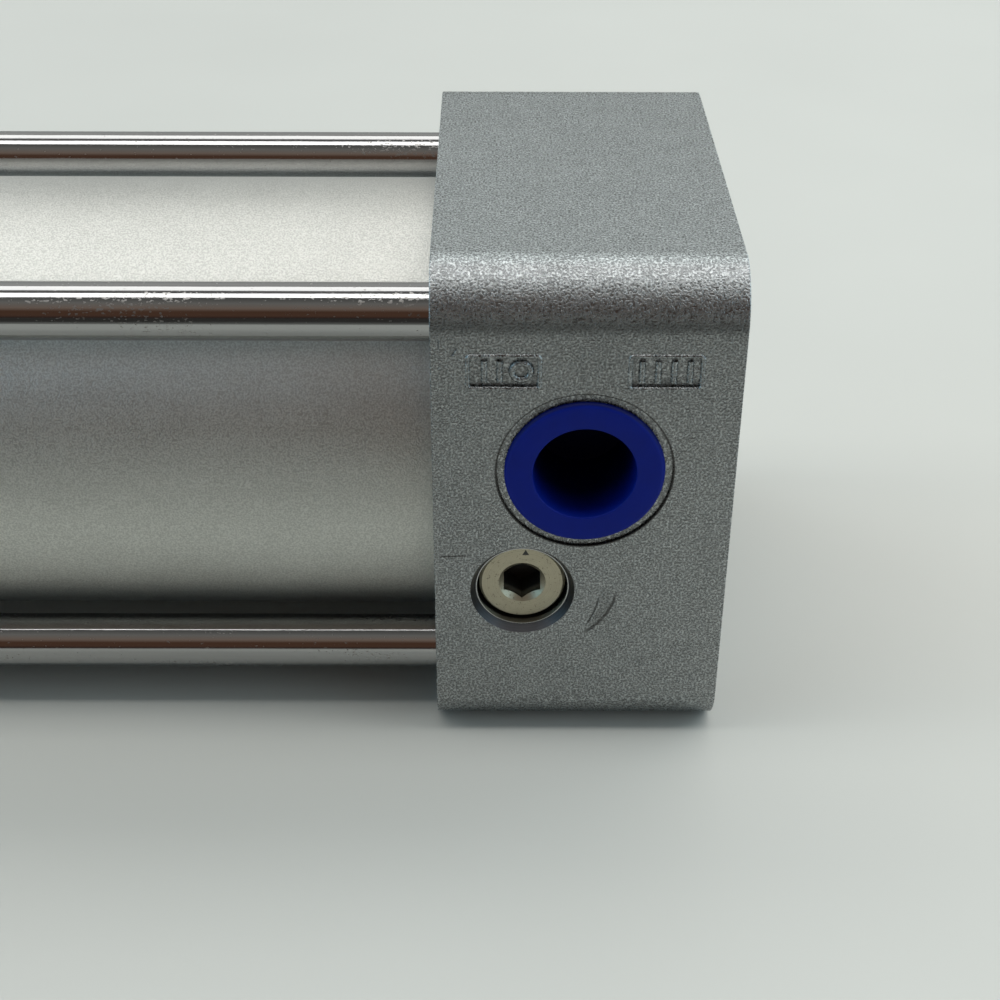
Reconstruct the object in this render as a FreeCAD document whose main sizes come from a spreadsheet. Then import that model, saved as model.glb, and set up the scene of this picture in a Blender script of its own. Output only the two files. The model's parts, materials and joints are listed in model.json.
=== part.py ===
# A double-acting pneumatic cylinder of 40 mm bore whose two square caps are drawn onto a plain tube
# by four tie rods. It is drawn retracted, with a dust plug in each port.
# Frame: the origin is the centre of the rear cap's outer face, +X runs along the bore towards the
# rod end, +Y comes out of the port side and +Z is up. Lengths are millimetres.
import FreeCAD, Part
import Sketcher
import os
import re

# Sizes that are set by themselves.
DRIVING_SIZES = {
    # Tube, stroke and the general running gap between round pieces, on the radius
    "stroke": 100,
    "bore": 40,
    "tube_wall": 2,
    "running_gap": 0.05,
    # Square caps
    "cap_depth": 27.5,
    "cap_corner_round": 5,
    "cap_edge_round": 0.1,
    "spigot_length": 6,
    "boss_length": 15,
    "boss_wall": 4,
    "boss_chamfer": 0.8,
    # Tie rods and their nuts: M6 threads are drawn at pitch diameter where a rod fills them,
    # and at their crests where they are free to take a mounting bolt
    "tie_rod_diameter": 5.3,
    "tie_rod_tube_gap": 1.513,
    "tie_rod_hole_gap": 0.5,
    "tie_rod_end_depth": 12,
    "tie_rod_chamfer": 0.5,
    "nut_diameter": 9.8,
    "nut_length": 18,
    "nut_recess": 1,
    "nut_seat_gap": 0.3,
    "nut_seat_wall": 1.3,
    "nut_socket_flats": 6,
    "nut_socket_depth": 4,
    "nut_mount_thread": 5,
    "nut_thread_step": 0.3,
    "nut_chamfer": 0.4,
    # Tube seals on the spigots and cushion seals in their mouths
    "tube_seal_section": 2.4,
    "seal_side_room": 0.3,
    "cushion_seal_length": 5,
    "cushion_seal_width": 4,
    "cushion_seal_lip": 0.7,
    # Piston, its seals and its wear ring
    "piston_length": 25.4,
    "piston_gap": 0.3,
    "stop_gap": 0.3,
    "piston_land": 2.2,
    "piston_chamfer": 0.6,
    "piston_seal_length": 5,
    "piston_seal_depth": 3.5,
    "piston_seal_lip": 0.9,
    "piston_seal_notch": 1.8,
    "wear_ring_thickness": 1.8,
    "wear_ring_slit_angle": 4,
    "stub_seal_section": 1.8,
    # Piston rod, cushion spears and the nuts on the rod, with engaged M12 threads at pitch diameter
    "rod_diameter": 16,
    "stub_diameter": 12,
    "engaged_thread_drop": 0.8,
    "spear_step": 2,
    "front_spear_length": 20,
    "rear_spear_length": 14,
    "spear_lead_length": 3,
    "spear_lead": 0.5,
    "piston_nut_thickness": 6,
    "rod_nut_thickness": 7,
    "rod_nut_clearance": 1,
    "hexagon_flats": 17,
    "stub_proud": 1,
    "rod_proud": 10,
    "rod_thread_length": 24,
    "rod_chamfer": 1,
    "wrench_flat_depth": 1,
    "wrench_flat_length": 6.5,
    # Cushion chambers, with the rod bushing and rod seal in the front cap
    "chamber_gap": 2,
    "chamber_end_room": 3.8,
    "bushing_wall": 2,
    "bushing_flange": 2,
    "rod_seal_width": 4,
    "rod_seal_length": 6,
    "rod_seal_recess": 0.5,
    "rod_seal_lip": 0.35,
    # Port with its dust plug, the G1/4 thread drawn at its pitch diameter
    "port_place": 13.8,
    "port_height": 5.6,
    "port_thread_diameter": 12.3,
    "port_thread_chamfer": 0.45,
    "spot_face_margin": 1.9,
    "spot_face_depth": 0.3,
    "port_floor_wall": 1,
    "port_passage_diameter": 7,
    "plug_flange_gap": 0.75,
    "plug_proud": 0.35,
    "plug_gap": 0.1,
    "plug_taper": 0.25,
    "plug_end_room": 1.3,
    "plug_wall": 1.1,
    "plug_bottom": 1.2,
    "plug_edge": 0.3,
    # Cushion needle in its chamfered hole
    "needle_place": 8.3,
    "needle_drop": 7.6,
    "needle_head_diameter": 8.2,
    "needle_gap": 0.225,
    "needle_recess": 1.4,
    "needle_mouth_step": 0.15,
    "needle_lip_width": 0.45,
    "needle_lip_depth": 0.7,
    "needle_travel": 1.125,
    "needle_seat_diameter": 3,
    "needle_seat_length": 3.45,
    "needle_tip_diameter": 1.6,
    "needle_stem_diameter": 3.6,
    "needle_stem_length": 3.2,
    "needle_collar": 1,
    "needle_seal_section": 1.5,
    "needle_edge": 0.25,
    "needle_socket_flats": 3.5,
    "needle_socket_mouth": 4.5,
    "needle_socket_depth": 3.5,
    "bypass_diameter": 1.6,
    # Two shallow frames on the port face for cast size marks
    "mark_place": 13.5,
    "mark_spacing": 14.2,
    "mark_height": 15.85,
    "mark_length": 6.5,
    "mark_width": 3.4,
    "mark_depth": 0.3,
}

# Sizes and places that follow from them.
LAYOUT = {
    "tube_radius": "bore / 2 + tube_wall",
    "tie_rod_offset": "(tube_radius + tie_rod_tube_gap + tie_rod_diameter / 2) / sqrt(2)",
    "nut_seat_radius": "nut_diameter / 2 + nut_seat_gap",
    "half_side": "tie_rod_offset + nut_seat_radius + nut_seat_wall",
    "tube_length": "stroke + piston_length + 2 * (spigot_length + stop_gap)",
    "front_cap_start": "cap_depth + tube_length",
    "front_cap_end": "front_cap_start + cap_depth",
    "boss_end": "front_cap_end + boss_length",
    "nut_seat_depth": "nut_recess + nut_length",
    "nut_thread_radius": "tie_rod_diameter / 2 + running_gap",
    "nut_mount_end": "tie_rod_end_depth - nut_recess - nut_thread_step",
    "spigot_radius": "bore / 2 - running_gap",
    "tube_seal_radius": "bore / 2 - running_gap - tube_seal_section / 2",
    "tube_seal_groove_radius": "tube_seal_radius - tube_seal_section / 2 - running_gap",
    "rod_radius": "rod_diameter / 2",
    "stub_radius": "stub_diameter / 2",
    "engaged_radius": "(stub_diameter - engaged_thread_drop) / 2",
    "spear_radius": "rod_radius + spear_step",
    "chamber_radius": "spear_radius + chamber_gap",
    "cushion_pocket_radius": "spear_radius + cushion_seal_width",
    "bushing_radius": "rod_radius + bushing_wall",
    "rod_seal_pocket_radius": "rod_radius + rod_seal_width",
    "boss_radius": "rod_seal_pocket_radius + boss_wall",
    "rear_spear_reach": "rear_spear_length + piston_nut_thickness + stub_proud",
    "rear_chamber_depth": "rear_spear_reach - spigot_length - stop_gap + chamber_end_room",
    "front_spear_reach": "front_spear_length - spigot_length - stop_gap",
    "front_chamber_depth": "front_spear_reach + chamber_end_room + bushing_flange",
    "rod_seal_start": "cap_depth + boss_length - rod_seal_recess - rod_seal_length",
    "piston_start": "cap_depth + spigot_length + stop_gap",
    "piston_end": "piston_start + piston_length",
    "piston_radius": "bore / 2 - piston_gap",
    "piston_seal_groove_radius": "bore / 2 - piston_seal_depth",
    "wear_groove_radius": "bore / 2 - wear_ring_thickness - 2 * running_gap",
    "wear_groove_start": "2 * piston_land + piston_seal_length",
    "stub_seal_radius": "stub_radius + running_gap + stub_seal_section / 2",
    "stub_end": "piston_start - rear_spear_reach",
    "rod_shoulder": "piston_end + front_spear_length",
    "thread_start": "boss_end + rod_proud",
    "rod_nut_start": "thread_start + rod_nut_clearance",
    "rod_end": "thread_start + rod_thread_length",
    "port_radius": "port_thread_diameter / 2",
    "spot_face_radius": "port_radius + spot_face_margin",
    "port_floor": "chamber_radius + port_floor_wall",
    "plug_radius": "port_radius - plug_gap",
    "plug_flange_radius": "spot_face_radius - plug_flange_gap",
    "plug_cup_radius": "plug_radius - plug_taper - plug_wall",
    "plug_length": "half_side + plug_proud - port_floor - plug_end_room",
    "needle_radius": "needle_head_diameter / 2",
    "needle_hole_radius": "needle_radius + needle_gap",
    "needle_mouth_radius": "needle_hole_radius + needle_mouth_step",
    "needle_lip_radius": "needle_mouth_radius + needle_lip_width",
    "needle_chamber_wall": "sqrt(chamber_radius ^ 2 - needle_drop ^ 2)",
    "needle_hole_floor": "needle_chamber_wall + needle_seat_length",
    "needle_cone": "(needle_stem_diameter - needle_tip_diameter) / 2",
    "needle_seated": "needle_hole_floor - (needle_seat_diameter - needle_tip_diameter) / 2",
    "needle_tip_height": "needle_seated + needle_travel + 2 * running_gap",
    "needle_length": "half_side - needle_recess - needle_tip_height",
    "needle_groove_start": "needle_stem_length + needle_collar",
    "needle_groove_length": "needle_seal_section + seal_side_room",
    "needle_seal_radius": "needle_hole_radius - running_gap - needle_seal_section / 2",
    "needle_core_radius": "needle_seal_radius - needle_seal_section / 2 - running_gap",
    "bypass_radius": "(cushion_pocket_radius + tube_seal_groove_radius) / 2",
    "bypass_height": "sqrt(bypass_radius ^ 2 - needle_drop ^ 2)",
}

# How far a cutting outline reaches past the face that it opens, in millimetres.
OVERSHOOT = "1"
SHEET_OF = {name: "Sizes." for name in DRIVING_SIZES} | {name: "Layout." for name in LAYOUT}
# A nut's corners are turned off at 30 degrees, from just inside its flats.
CORNER_START = 0.48
CORNER_REACH = 0.12
TANGENT_30 = "sqrt(1 / 3)"
# The four corners of the caps: the name of each, with its sides along Y and Z.
CORNERS = {
    "upper_port_side": (1, 1),
    "upper_far_side": (-1, 1),
    "lower_far_side": (-1, -1),
    "lower_port_side": (1, -1),
}

doc = FreeCAD.newDocument("tie_rod_cylinder")
pieces = []


def named(formula):
    """The formula with each size's name led by the sheet that holds it."""
    return re.sub(r"[a-z_]+", lambda word: SHEET_OF.get(word[0], "") + word[0], formula)


def fill_sheets():
    """Writes the driving sizes as numbers and what follows from them as formulas."""
    sizes = doc.addObject("Spreadsheet::Sheet", "Sizes")
    layout = doc.addObject("Spreadsheet::Sheet", "Layout")
    for row, (name, value) in enumerate(DRIVING_SIZES.items(), 1):
        sizes.set(f"A{row}", name)
        sizes.set(f"B{row}", str(value))
        sizes.setAlias(f"B{row}", name)
    doc.recompute()
    for row, (name, formula) in enumerate(LAYOUT.items(), 1):
        layout.set(f"A{row}", name)
        layout.set(f"B{row}", "=" + named(formula))
        layout.setAlias(f"B{row}", name)
        doc.recompute()
    return sizes


def number(formula):
    """What a formula comes to with the sizes as they are."""
    return float(sheet.evalExpression(named(formula)))


def new_body(label):
    """An empty body that will be written out under its label."""
    body = doc.addObject("PartDesign::Body", label)
    body.Label = label
    pieces.append(body)
    return body


def origin_part(body, role):
    """One of the body's own origin planes or axes."""
    return next(part for part in body.Origin.OriginFeatures if part.Role == role)


def place(piece, x="0", y="0", z="0", axis=(0, 0, 1), turn=0):
    """Turns a piece and binds its place to formulas."""
    rotation = FreeCAD.Rotation(FreeCAD.Vector(*axis), turn)
    piece.Placement = FreeCAD.Placement(FreeCAD.Vector(), rotation)
    for side, formula in zip("xyz", (x, y, z)):
        piece.setExpression(f"Placement.Base.{side}", named(formula))


def outline(body, plane, corners, shift=("0", "0", "0")):
    """A sketch of straight runs whose every corner is held at two formulas."""
    sketch = body.newObject("Sketcher::SketchObject", body.Name + "_outline")
    sketch.AttachmentSupport = [(origin_part(body, plane), "")]
    sketch.MapMode = "FlatFace"
    for side, formula in zip("xyz", shift):
        sketch.setExpression(f"AttachmentOffset.Base.{side}", named(formula))
    points = [FreeCAD.Vector(number(across), number(up)) for across, up in corners]
    for start, end in zip(points, points[1:] + points[:1]):
        sketch.addGeometry(Part.LineSegment(start, end))
    for index, corner in enumerate(corners):
        before = (index - 1) % len(corners)
        sketch.addConstraint(Sketcher.Constraint("Coincident", before, 2, index, 1))
        for kind, formula in zip(("DistanceX", "DistanceY"), corner):
            limit = Sketcher.Constraint(kind, -1, 1, index, 1, number(formula))
            held = sketch.addConstraint(limit)
            sketch.setExpression(f"Constraints[{held}]", named(formula))
    return sketch


def turned(body, corners, shift=("0", "0", "0"), axis="H_Axis", cut=False):
    """Turns an outline round its own axis, as new material or as a cut."""
    sketch = outline(body, "XY_Plane", corners, shift)
    kind = "PartDesign::Groove" if cut else "PartDesign::Revolution"
    feature = body.newObject(kind, body.Name + "_turned")
    feature.Profile = sketch
    feature.ReferenceAxis = (sketch, [axis])
    feature.Angle = 360
    return feature


def bored(body, corners, shift=("0", "0", "0"), axis="H_Axis"):
    """A turned cut."""
    return turned(body, corners, shift, axis, cut=True)


def padded(body, corners, length, start="0"):
    """An outline across the bore, drawn out along +X."""
    pad = body.newObject("PartDesign::Pad", body.Name + "_pad")
    pad.Profile = outline(body, "YZ_Plane", corners, ("0", "0", start))
    pad.setExpression("Length", named(length))
    return pad


def pocketed(body, plane, corners, depth, start, inward=False):
    """An outline sunk into the body, against its plane's normal or, inward, along it."""
    sketch = outline(body, plane, corners, ("0", "0", start))
    pocket = body.newObject("PartDesign::Pocket", body.Name + "_pocket")
    pocket.Profile = sketch
    pocket.setExpression("Length", named(depth))
    pocket.Reversed = inward
    return pocket


def round_the_bore(body, feature, copies):
    """Repeats a feature evenly round the X axis."""
    pattern = body.newObject("PartDesign::PolarPattern", body.Name + "_round")
    pattern.Originals = [feature]
    pattern.Axis = (origin_part(body, "X_Axis"), [""])
    pattern.Angle = 360
    pattern.Occurrences = copies
    body.Tip = pattern


def rounded(body, radius, chosen):
    """Rounds the edges of the body so far that pass a test."""
    doc.recompute()
    base = body.Tip
    names = [f"Edge{index}" for index, edge in enumerate(base.Shape.Edges, 1) if chosen(edge)]
    fillet = body.newObject("PartDesign::Fillet", body.Name + "_round")
    fillet.Base = (base, names)
    fillet.setExpression("Radius", named(radius))


def rectangle(left, right, low, high):
    """The four corners of a rectangle."""
    return [(left, low), (right, low), (right, high), (left, high)]


def hexagon(flats):
    """The six corners of a hexagon that stands on a corner."""
    side = f"{flats} / 2"
    low = f"{flats} / sqrt(12)"
    tip = f"{flats} / sqrt(3)"
    right = [(side, f"-({low})"), (side, low), ("0", tip)]
    left = [(f"-({side})", low), (f"-({side})", f"-({low})"), ("0", f"-({tip})")]
    return right + left


def square_cap(label, along, start, through):
    """A die-cast cap: along gives the place of a depth from the tube side, through its centre bore."""
    body = new_body(label)
    side = "half_side"
    padded(body, rectangle(f"-{side}", side, f"-{side}", side), "cap_depth", start)
    rounded(body, "cap_corner_round", lambda edge: edge.BoundBox.XLength > number("cap_depth") / 2)
    rounded(body, "cap_edge_round", lambda edge: edge.BoundBox.XLength < number("running_gap"))
    spigot = rectangle(along("-spigot_length"), along(OVERSHOOT), "0", "spigot_radius")
    turned(body, spigot)
    if through:
        boss = [
            (along("cap_depth / 2"), "0"),
            (along("cap_depth / 2"), "boss_radius"),
            (along("cap_depth + boss_length - boss_chamfer"), "boss_radius"),
            (along("cap_depth + boss_length"), "boss_radius - boss_chamfer"),
            (along("cap_depth + boss_length"), "0"),
        ]
        turned(body, boss)
    cut_centre(body, along, through)
    cut_tube_seal_groove(body, along)
    cut_corner_seats(body, along)
    cut_port(body, along)
    cut_needle_hole(body, along)
    cut_marks(body, along)
    return body


def cut_centre(body, along, through):
    """The cushion seal's pocket and the cushion chamber, then the rod's way out or a blind end."""
    mouth = [
        (along(f"-spigot_length - {OVERSHOOT}"), "0"),
        (along(f"-spigot_length - {OVERSHOOT}"), "cushion_pocket_radius"),
        (along("cushion_seal_length - spigot_length"), "cushion_pocket_radius"),
        (along("cushion_seal_length - spigot_length"), "chamber_radius"),
    ]
    blind_end = [
        (along("rear_chamber_depth"), "chamber_radius"),
        (along("rear_chamber_depth"), "0"),
    ]
    rod_way = [
        (along("front_chamber_depth"), "chamber_radius"),
        (along("front_chamber_depth"), "bushing_radius + running_gap"),
        (along("rod_seal_start"), "bushing_radius + running_gap"),
        (along("rod_seal_start"), "rod_seal_pocket_radius"),
        (along(f"cap_depth + boss_length + {OVERSHOOT}"), "rod_seal_pocket_radius"),
        (along(f"cap_depth + boss_length + {OVERSHOOT}"), "0"),
    ]
    bored(body, mouth + (rod_way if through else blind_end))


def cut_tube_seal_groove(body, along):
    """The groove round the spigot for the tube's O-ring."""
    half = "(tube_seal_section + seal_side_room) / 2"
    groove = rectangle(
        along(f"-spigot_length / 2 - {half}"),
        along(f"-spigot_length / 2 + {half}"),
        "tube_seal_groove_radius",
        f"bore / 2 + {OVERSHOOT}",
    )
    bored(body, groove)


def cut_corner_seats(body, along):
    """A tie rod's hole with its nut's counterbore, in each corner."""
    seat = [
        (along(f"-{OVERSHOOT}"), "0"),
        (along(f"-{OVERSHOOT}"), "tie_rod_diameter / 2 + tie_rod_hole_gap"),
        (along("cap_depth - nut_seat_depth"), "tie_rod_diameter / 2 + tie_rod_hole_gap"),
        (along("cap_depth - nut_seat_depth"), "nut_seat_radius"),
        (along(f"cap_depth + {OVERSHOOT}"), "nut_seat_radius"),
        (along(f"cap_depth + {OVERSHOOT}"), "0"),
    ]
    round_the_bore(body, bored(body, seat, ("0", "tie_rod_offset", "tie_rod_offset")), len(CORNERS))


def cut_port(body, along):
    """The port: a spot face, the thread and the passage into the cushion chamber."""
    port = [
        ("0", f"half_side + {OVERSHOOT}"),
        ("spot_face_radius", f"half_side + {OVERSHOOT}"),
        ("spot_face_radius", "half_side - spot_face_depth"),
        ("port_radius + port_thread_chamfer", "half_side - spot_face_depth"),
        ("port_radius", "half_side - spot_face_depth - port_thread_chamfer"),
        ("port_radius", "port_floor"),
        ("port_passage_diameter / 2", "port_floor"),
        ("port_passage_diameter / 2", "chamber_radius / 2"),
        ("0", "chamber_radius / 2"),
    ]
    bored(body, port, (along("port_place"), "0", "port_height"), "V_Axis")


def cut_needle_hole(body, along):
    """The cushion needle's hole and seat, with the bypass that joins it to the tube."""
    hole = [
        ("0", f"half_side + {OVERSHOOT}"),
        ("needle_lip_radius", f"half_side + {OVERSHOOT}"),
        ("needle_lip_radius", "half_side"),
        ("needle_mouth_radius", "half_side - needle_lip_depth"),
        ("needle_hole_radius", "half_side - needle_lip_depth"),
        ("needle_hole_radius", "needle_hole_floor"),
        ("needle_seat_diameter / 2", "needle_hole_floor"),
        ("needle_seat_diameter / 2", "needle_chamber_wall / 2"),
        ("0", "needle_chamber_wall / 2"),
    ]
    bored(body, hole, (along("needle_place"), "0", "-needle_drop"), "V_Axis")
    bypass = rectangle(
        along(f"-spigot_length - {OVERSHOOT}"), along("needle_place"), "0", "bypass_diameter / 2"
    )
    bored(body, bypass, ("0", "bypass_height", "-needle_drop"))


def cut_marks(body, along):
    """Two shallow rectangular frames above the port, side by side along the bore."""
    frame = rectangle(
        along("mark_place + (mark_spacing + mark_length) / 2"),
        along("mark_place + (mark_spacing - mark_length) / 2"),
        "mark_height - mark_width / 2",
        "mark_height + mark_width / 2",
    )
    first = pocketed(body, "XZ_Plane", frame, "mark_depth", "-half_side", inward=True)
    pair = body.newObject("PartDesign::LinearPattern", body.Name + "_pair")
    pair.Originals = [first]
    pair.Direction = (origin_part(body, "X_Axis"), [""])
    pair.Reversed = number(along("1")) > number(along("0"))
    pair.setExpression("Length", named("mark_spacing"))
    pair.Occurrences = 2
    body.Tip = pair


def barrel_tube():
    """The plain round tube between the caps."""
    tube = new_body("barrel_tube")
    turned(tube, rectangle("0", "tube_length", "bore / 2", "tube_radius"))
    place(tube, "cap_depth")


def tie_rod(corner, along_y, along_z):
    """One tie rod, with both ends in their nuts."""
    rod = new_body("tie_rod_" + corner)
    length = "(front_cap_end - 2 * tie_rod_end_depth)"
    radius = "tie_rod_diameter / 2"
    half = [
        ("0", "0"),
        ("0", f"{radius} - tie_rod_chamfer"),
        ("tie_rod_chamfer", radius),
        (f"{length} - tie_rod_chamfer", radius),
        (length, f"{radius} - tie_rod_chamfer"),
        (length, "0"),
    ]
    turned(rod, half)
    place(rod, "tie_rod_end_depth", f"{along_y} * tie_rod_offset", f"{along_z} * tie_rod_offset")


def tie_rod_nut(end, corner, along_y, along_z):
    """A long round nut: a hexagon socket at its mouth, with a thread that also takes a mounting bolt."""
    nut = new_body(f"{end}_nut_{corner}")
    radius = "nut_diameter / 2"
    half = [
        ("0", "nut_mount_thread / 2"),
        ("0", f"{radius} - nut_chamfer"),
        ("nut_chamfer", radius),
        ("nut_length - nut_chamfer", radius),
        ("nut_length", f"{radius} - nut_chamfer"),
        ("nut_length", "nut_thread_radius"),
        ("nut_mount_end", "nut_thread_radius"),
        ("nut_mount_end", "nut_mount_thread / 2"),
    ]
    turned(nut, half)
    pocketed(nut, "YZ_Plane", hexagon("nut_socket_flats"), "nut_socket_depth", "nut_socket_depth")
    y = f"{along_y} * tie_rod_offset"
    z = f"{along_z} * tie_rod_offset"
    if end == "rear":
        place(nut, "nut_recess", y, z)
    else:
        place(nut, "front_cap_end - nut_recess", y, z, turn=180)


def o_ring(label, section, radius, x, y="0", z="0", axis=(0, 1, 0)):
    """An O-ring of round section, turned about an axis to face along the bore or across it."""
    ring = doc.addObject("Part::Torus", label)
    ring.Label = label
    ring.setExpression("Radius1", named(radius))
    ring.setExpression("Radius2", named(f"{section} / 2"))
    place(ring, x, y, z, axis, 90)
    pieces.append(ring)


def cushion_seal(label, x, turn):
    """A lipped ring in the spigot's mouth that grips the cushion spear."""
    seal = new_body(label)
    grip = "spear_radius + 2 * running_gap"
    half = [
        ("0", f"{grip} + cushion_seal_lip"),
        ("cushion_seal_length - 2 * cushion_seal_lip", f"{grip} + cushion_seal_lip"),
        ("cushion_seal_length - cushion_seal_lip", grip),
        ("cushion_seal_length", grip),
        ("cushion_seal_length", "cushion_pocket_radius - running_gap"),
        ("0", "cushion_pocket_radius - running_gap"),
    ]
    turned(seal, half)
    place(seal, x, turn=turn)


def rod_bushing():
    """The flanged bronze bushing that guides the rod in the front cap."""
    bushing = new_body("rod_bushing")
    length = "rod_seal_start - front_chamber_depth + bushing_flange"
    half = [
        ("0", "rod_radius + running_gap"),
        ("0", "chamber_radius - running_gap"),
        ("bushing_flange", "chamber_radius - running_gap"),
        ("bushing_flange", "bushing_radius"),
        (length, "bushing_radius"),
        (length, "rod_radius + running_gap"),
    ]
    turned(bushing, half)
    place(bushing, "front_cap_start + front_chamber_depth - bushing_flange")


def rod_seal():
    """The rod's seal and wiper in one ring, with a lip at each end."""
    seal = new_body("rod_seal")
    grip = "rod_radius + running_gap"
    half = [
        ("0", grip),
        ("rod_seal_lip", grip),
        ("2 * rod_seal_lip", f"{grip} + rod_seal_lip"),
        ("rod_seal_length - 2 * rod_seal_lip", f"{grip} + rod_seal_lip"),
        ("rod_seal_length - rod_seal_lip", grip),
        ("rod_seal_length", grip),
        ("rod_seal_length", f"{grip} + 2 * rod_seal_lip"),
        ("rod_seal_length - rod_seal_lip", "rod_seal_pocket_radius - running_gap"),
        ("0", "rod_seal_pocket_radius - running_gap"),
    ]
    turned(seal, half)
    place(seal, "front_cap_start + rod_seal_start")


def piston_rod():
    """The rod, from the stub that holds the piston to the threaded end with its wrench flats."""
    rod = new_body("piston_rod")
    half = [
        ("stub_end", "0"),
        ("stub_end", "engaged_radius - rod_chamfer"),
        ("stub_end + rod_chamfer", "engaged_radius"),
        ("piston_start - rear_spear_length", "engaged_radius"),
        ("piston_start - rear_spear_length", "stub_radius"),
        ("rod_shoulder", "stub_radius"),
        ("rod_shoulder", "rod_radius"),
        ("thread_start - rod_chamfer", "rod_radius"),
        ("thread_start", "rod_radius - rod_chamfer"),
        ("thread_start", "engaged_radius"),
        ("rod_nut_start + rod_nut_thickness", "engaged_radius"),
        ("rod_nut_start + rod_nut_thickness", "stub_radius"),
        ("rod_end - rod_chamfer", "stub_radius"),
        ("rod_end", "stub_radius - rod_chamfer"),
        ("rod_end", "0"),
    ]
    turned(rod, half)
    flat = rectangle("rod_radius - wrench_flat_depth", "rod_diameter", "-rod_radius", "rod_radius")
    cut = pocketed(rod, "YZ_Plane", flat, "wrench_flat_length", "thread_start")
    round_the_bore(rod, cut, 2)


def piston():
    """The piston: a seal groove near each end, the wear ring's between them and an O-ring's in its bore."""
    body = new_body("piston")
    half = [
        ("0", "stub_radius + running_gap"),
        ("0", "piston_radius - piston_chamfer"),
        ("piston_chamfer", "piston_radius"),
        ("piston_length - piston_chamfer", "piston_radius"),
        ("piston_length", "piston_radius - piston_chamfer"),
        ("piston_length", "stub_radius + running_gap"),
    ]
    turned(body, half)
    seal_end = "piston_land + piston_seal_length"
    for start, end, floor in (
        ("piston_land", seal_end, "piston_seal_groove_radius"),
        ("wear_groove_start", "piston_length - wear_groove_start", "wear_groove_radius"),
        (f"piston_length - ({seal_end})", "piston_length - piston_land", "piston_seal_groove_radius"),
    ):
        bored(body, rectangle(start, end, floor, "bore / 2"))
    room = "(stub_seal_section + seal_side_room) / 2"
    ring_groove = rectangle(
        f"piston_length / 2 - {room}",
        f"piston_length / 2 + {room}",
        "stub_radius",
        "stub_seal_radius + stub_seal_section / 2 + running_gap",
    )
    bored(body, ring_groove)
    place(body, "piston_start")


def piston_seal(label, x, turn):
    """A lip seal whose notch faces the pressure at its end of the piston."""
    seal = new_body(label)
    width = "(piston_seal_length - seal_side_room)"
    inner = "(piston_seal_groove_radius + running_gap)"
    outer = "(bore / 2 - running_gap)"
    half = [
        ("0", inner),
        (width, inner),
        (width, f"{inner} + piston_seal_lip"),
        (f"{width} - piston_seal_notch", f"({inner} + {outer}) / 2"),
        (width, f"{outer} - piston_seal_lip"),
        (width, outer),
        (f"{width} - piston_seal_notch", outer),
        ("0", f"{outer} - piston_seal_lip / 2"),
    ]
    turned(seal, half)
    place(seal, x, turn=turn)


def wear_ring():
    """A split band that keeps the piston off the tube."""
    ring = new_body("piston_wear_ring")
    width = "piston_length - 2 * wear_groove_start - seal_side_room"
    half = rectangle("0", width, "wear_groove_radius + running_gap", "bore / 2 - running_gap")
    band = turned(ring, half)
    band.setExpression("Angle", named("360 - wear_ring_slit_angle"))
    place(ring, "piston_start + wear_groove_start + seal_side_room / 2")


def cushion_spear(label, length, x, turn):
    """A sleeve with a tapered nose that closes the chamber as the piston nears its stop."""
    spear = new_body(label)
    half = [
        ("0", "stub_radius + running_gap"),
        ("0", "spear_radius"),
        (f"{length} - spear_lead_length", "spear_radius"),
        (length, "spear_radius - spear_lead"),
        (length, "stub_radius + running_gap"),
    ]
    turned(spear, half)
    place(spear, x, turn=turn)


def hexagon_nut(label, thickness, x):
    """A plain hexagon nut, with its corners turned off on both faces."""
    nut = new_body(label)
    padded(nut, hexagon("hexagon_flats"), thickness)
    start = f"hexagon_flats * {CORNER_START}"
    end = f"hexagon_flats * ({CORNER_START} + {CORNER_REACH})"
    depth = f"hexagon_flats * {CORNER_REACH} * {TANGENT_30}"
    bored(nut, [("0", start), ("0", end), (depth, end)])
    bored(nut, [(thickness, start), (thickness, end), (f"{thickness} - {depth}", end)])
    thread = "engaged_radius + running_gap"
    bored(nut, rectangle(f"-{OVERSHOOT}", f"{thickness} + {OVERSHOOT}", "0", thread))
    place(nut, x)


def cushion_needle(label, x):
    """The cushion's needle screw: head with a hexagon socket, a groove for its seal and a conical tip."""
    needle = new_body(label)
    core = "needle_core_radius"
    stem = "needle_stem_diameter / 2"
    groove_end = "needle_groove_start + needle_groove_length"
    half = [
        ("0", "0"),
        ("needle_tip_diameter / 2", "0"),
        (stem, "needle_cone"),
        (stem, "needle_stem_length"),
        ("needle_radius", "needle_stem_length"),
        ("needle_radius", "needle_groove_start"),
        (core, "needle_groove_start"),
        (core, groove_end),
        ("needle_radius", groove_end),
        ("needle_radius", "needle_length - needle_edge"),
        ("needle_radius - needle_edge", "needle_length"),
        ("0", "needle_length"),
    ]
    turned(needle, half, axis="V_Axis")
    mouth = "needle_socket_mouth / 2"
    lead = [
        ("0", f"needle_length + {OVERSHOOT}"),
        (mouth, f"needle_length + {OVERSHOOT}"),
        (mouth, "needle_length"),
        ("0", f"needle_length - {mouth}"),
    ]
    bored(needle, lead, axis="V_Axis")
    socket = hexagon("needle_socket_flats")
    pocketed(needle, "XZ_Plane", socket, "needle_socket_depth", "-needle_length", inward=True)
    place(needle, x, "needle_tip_height", "-needle_drop")


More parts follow.
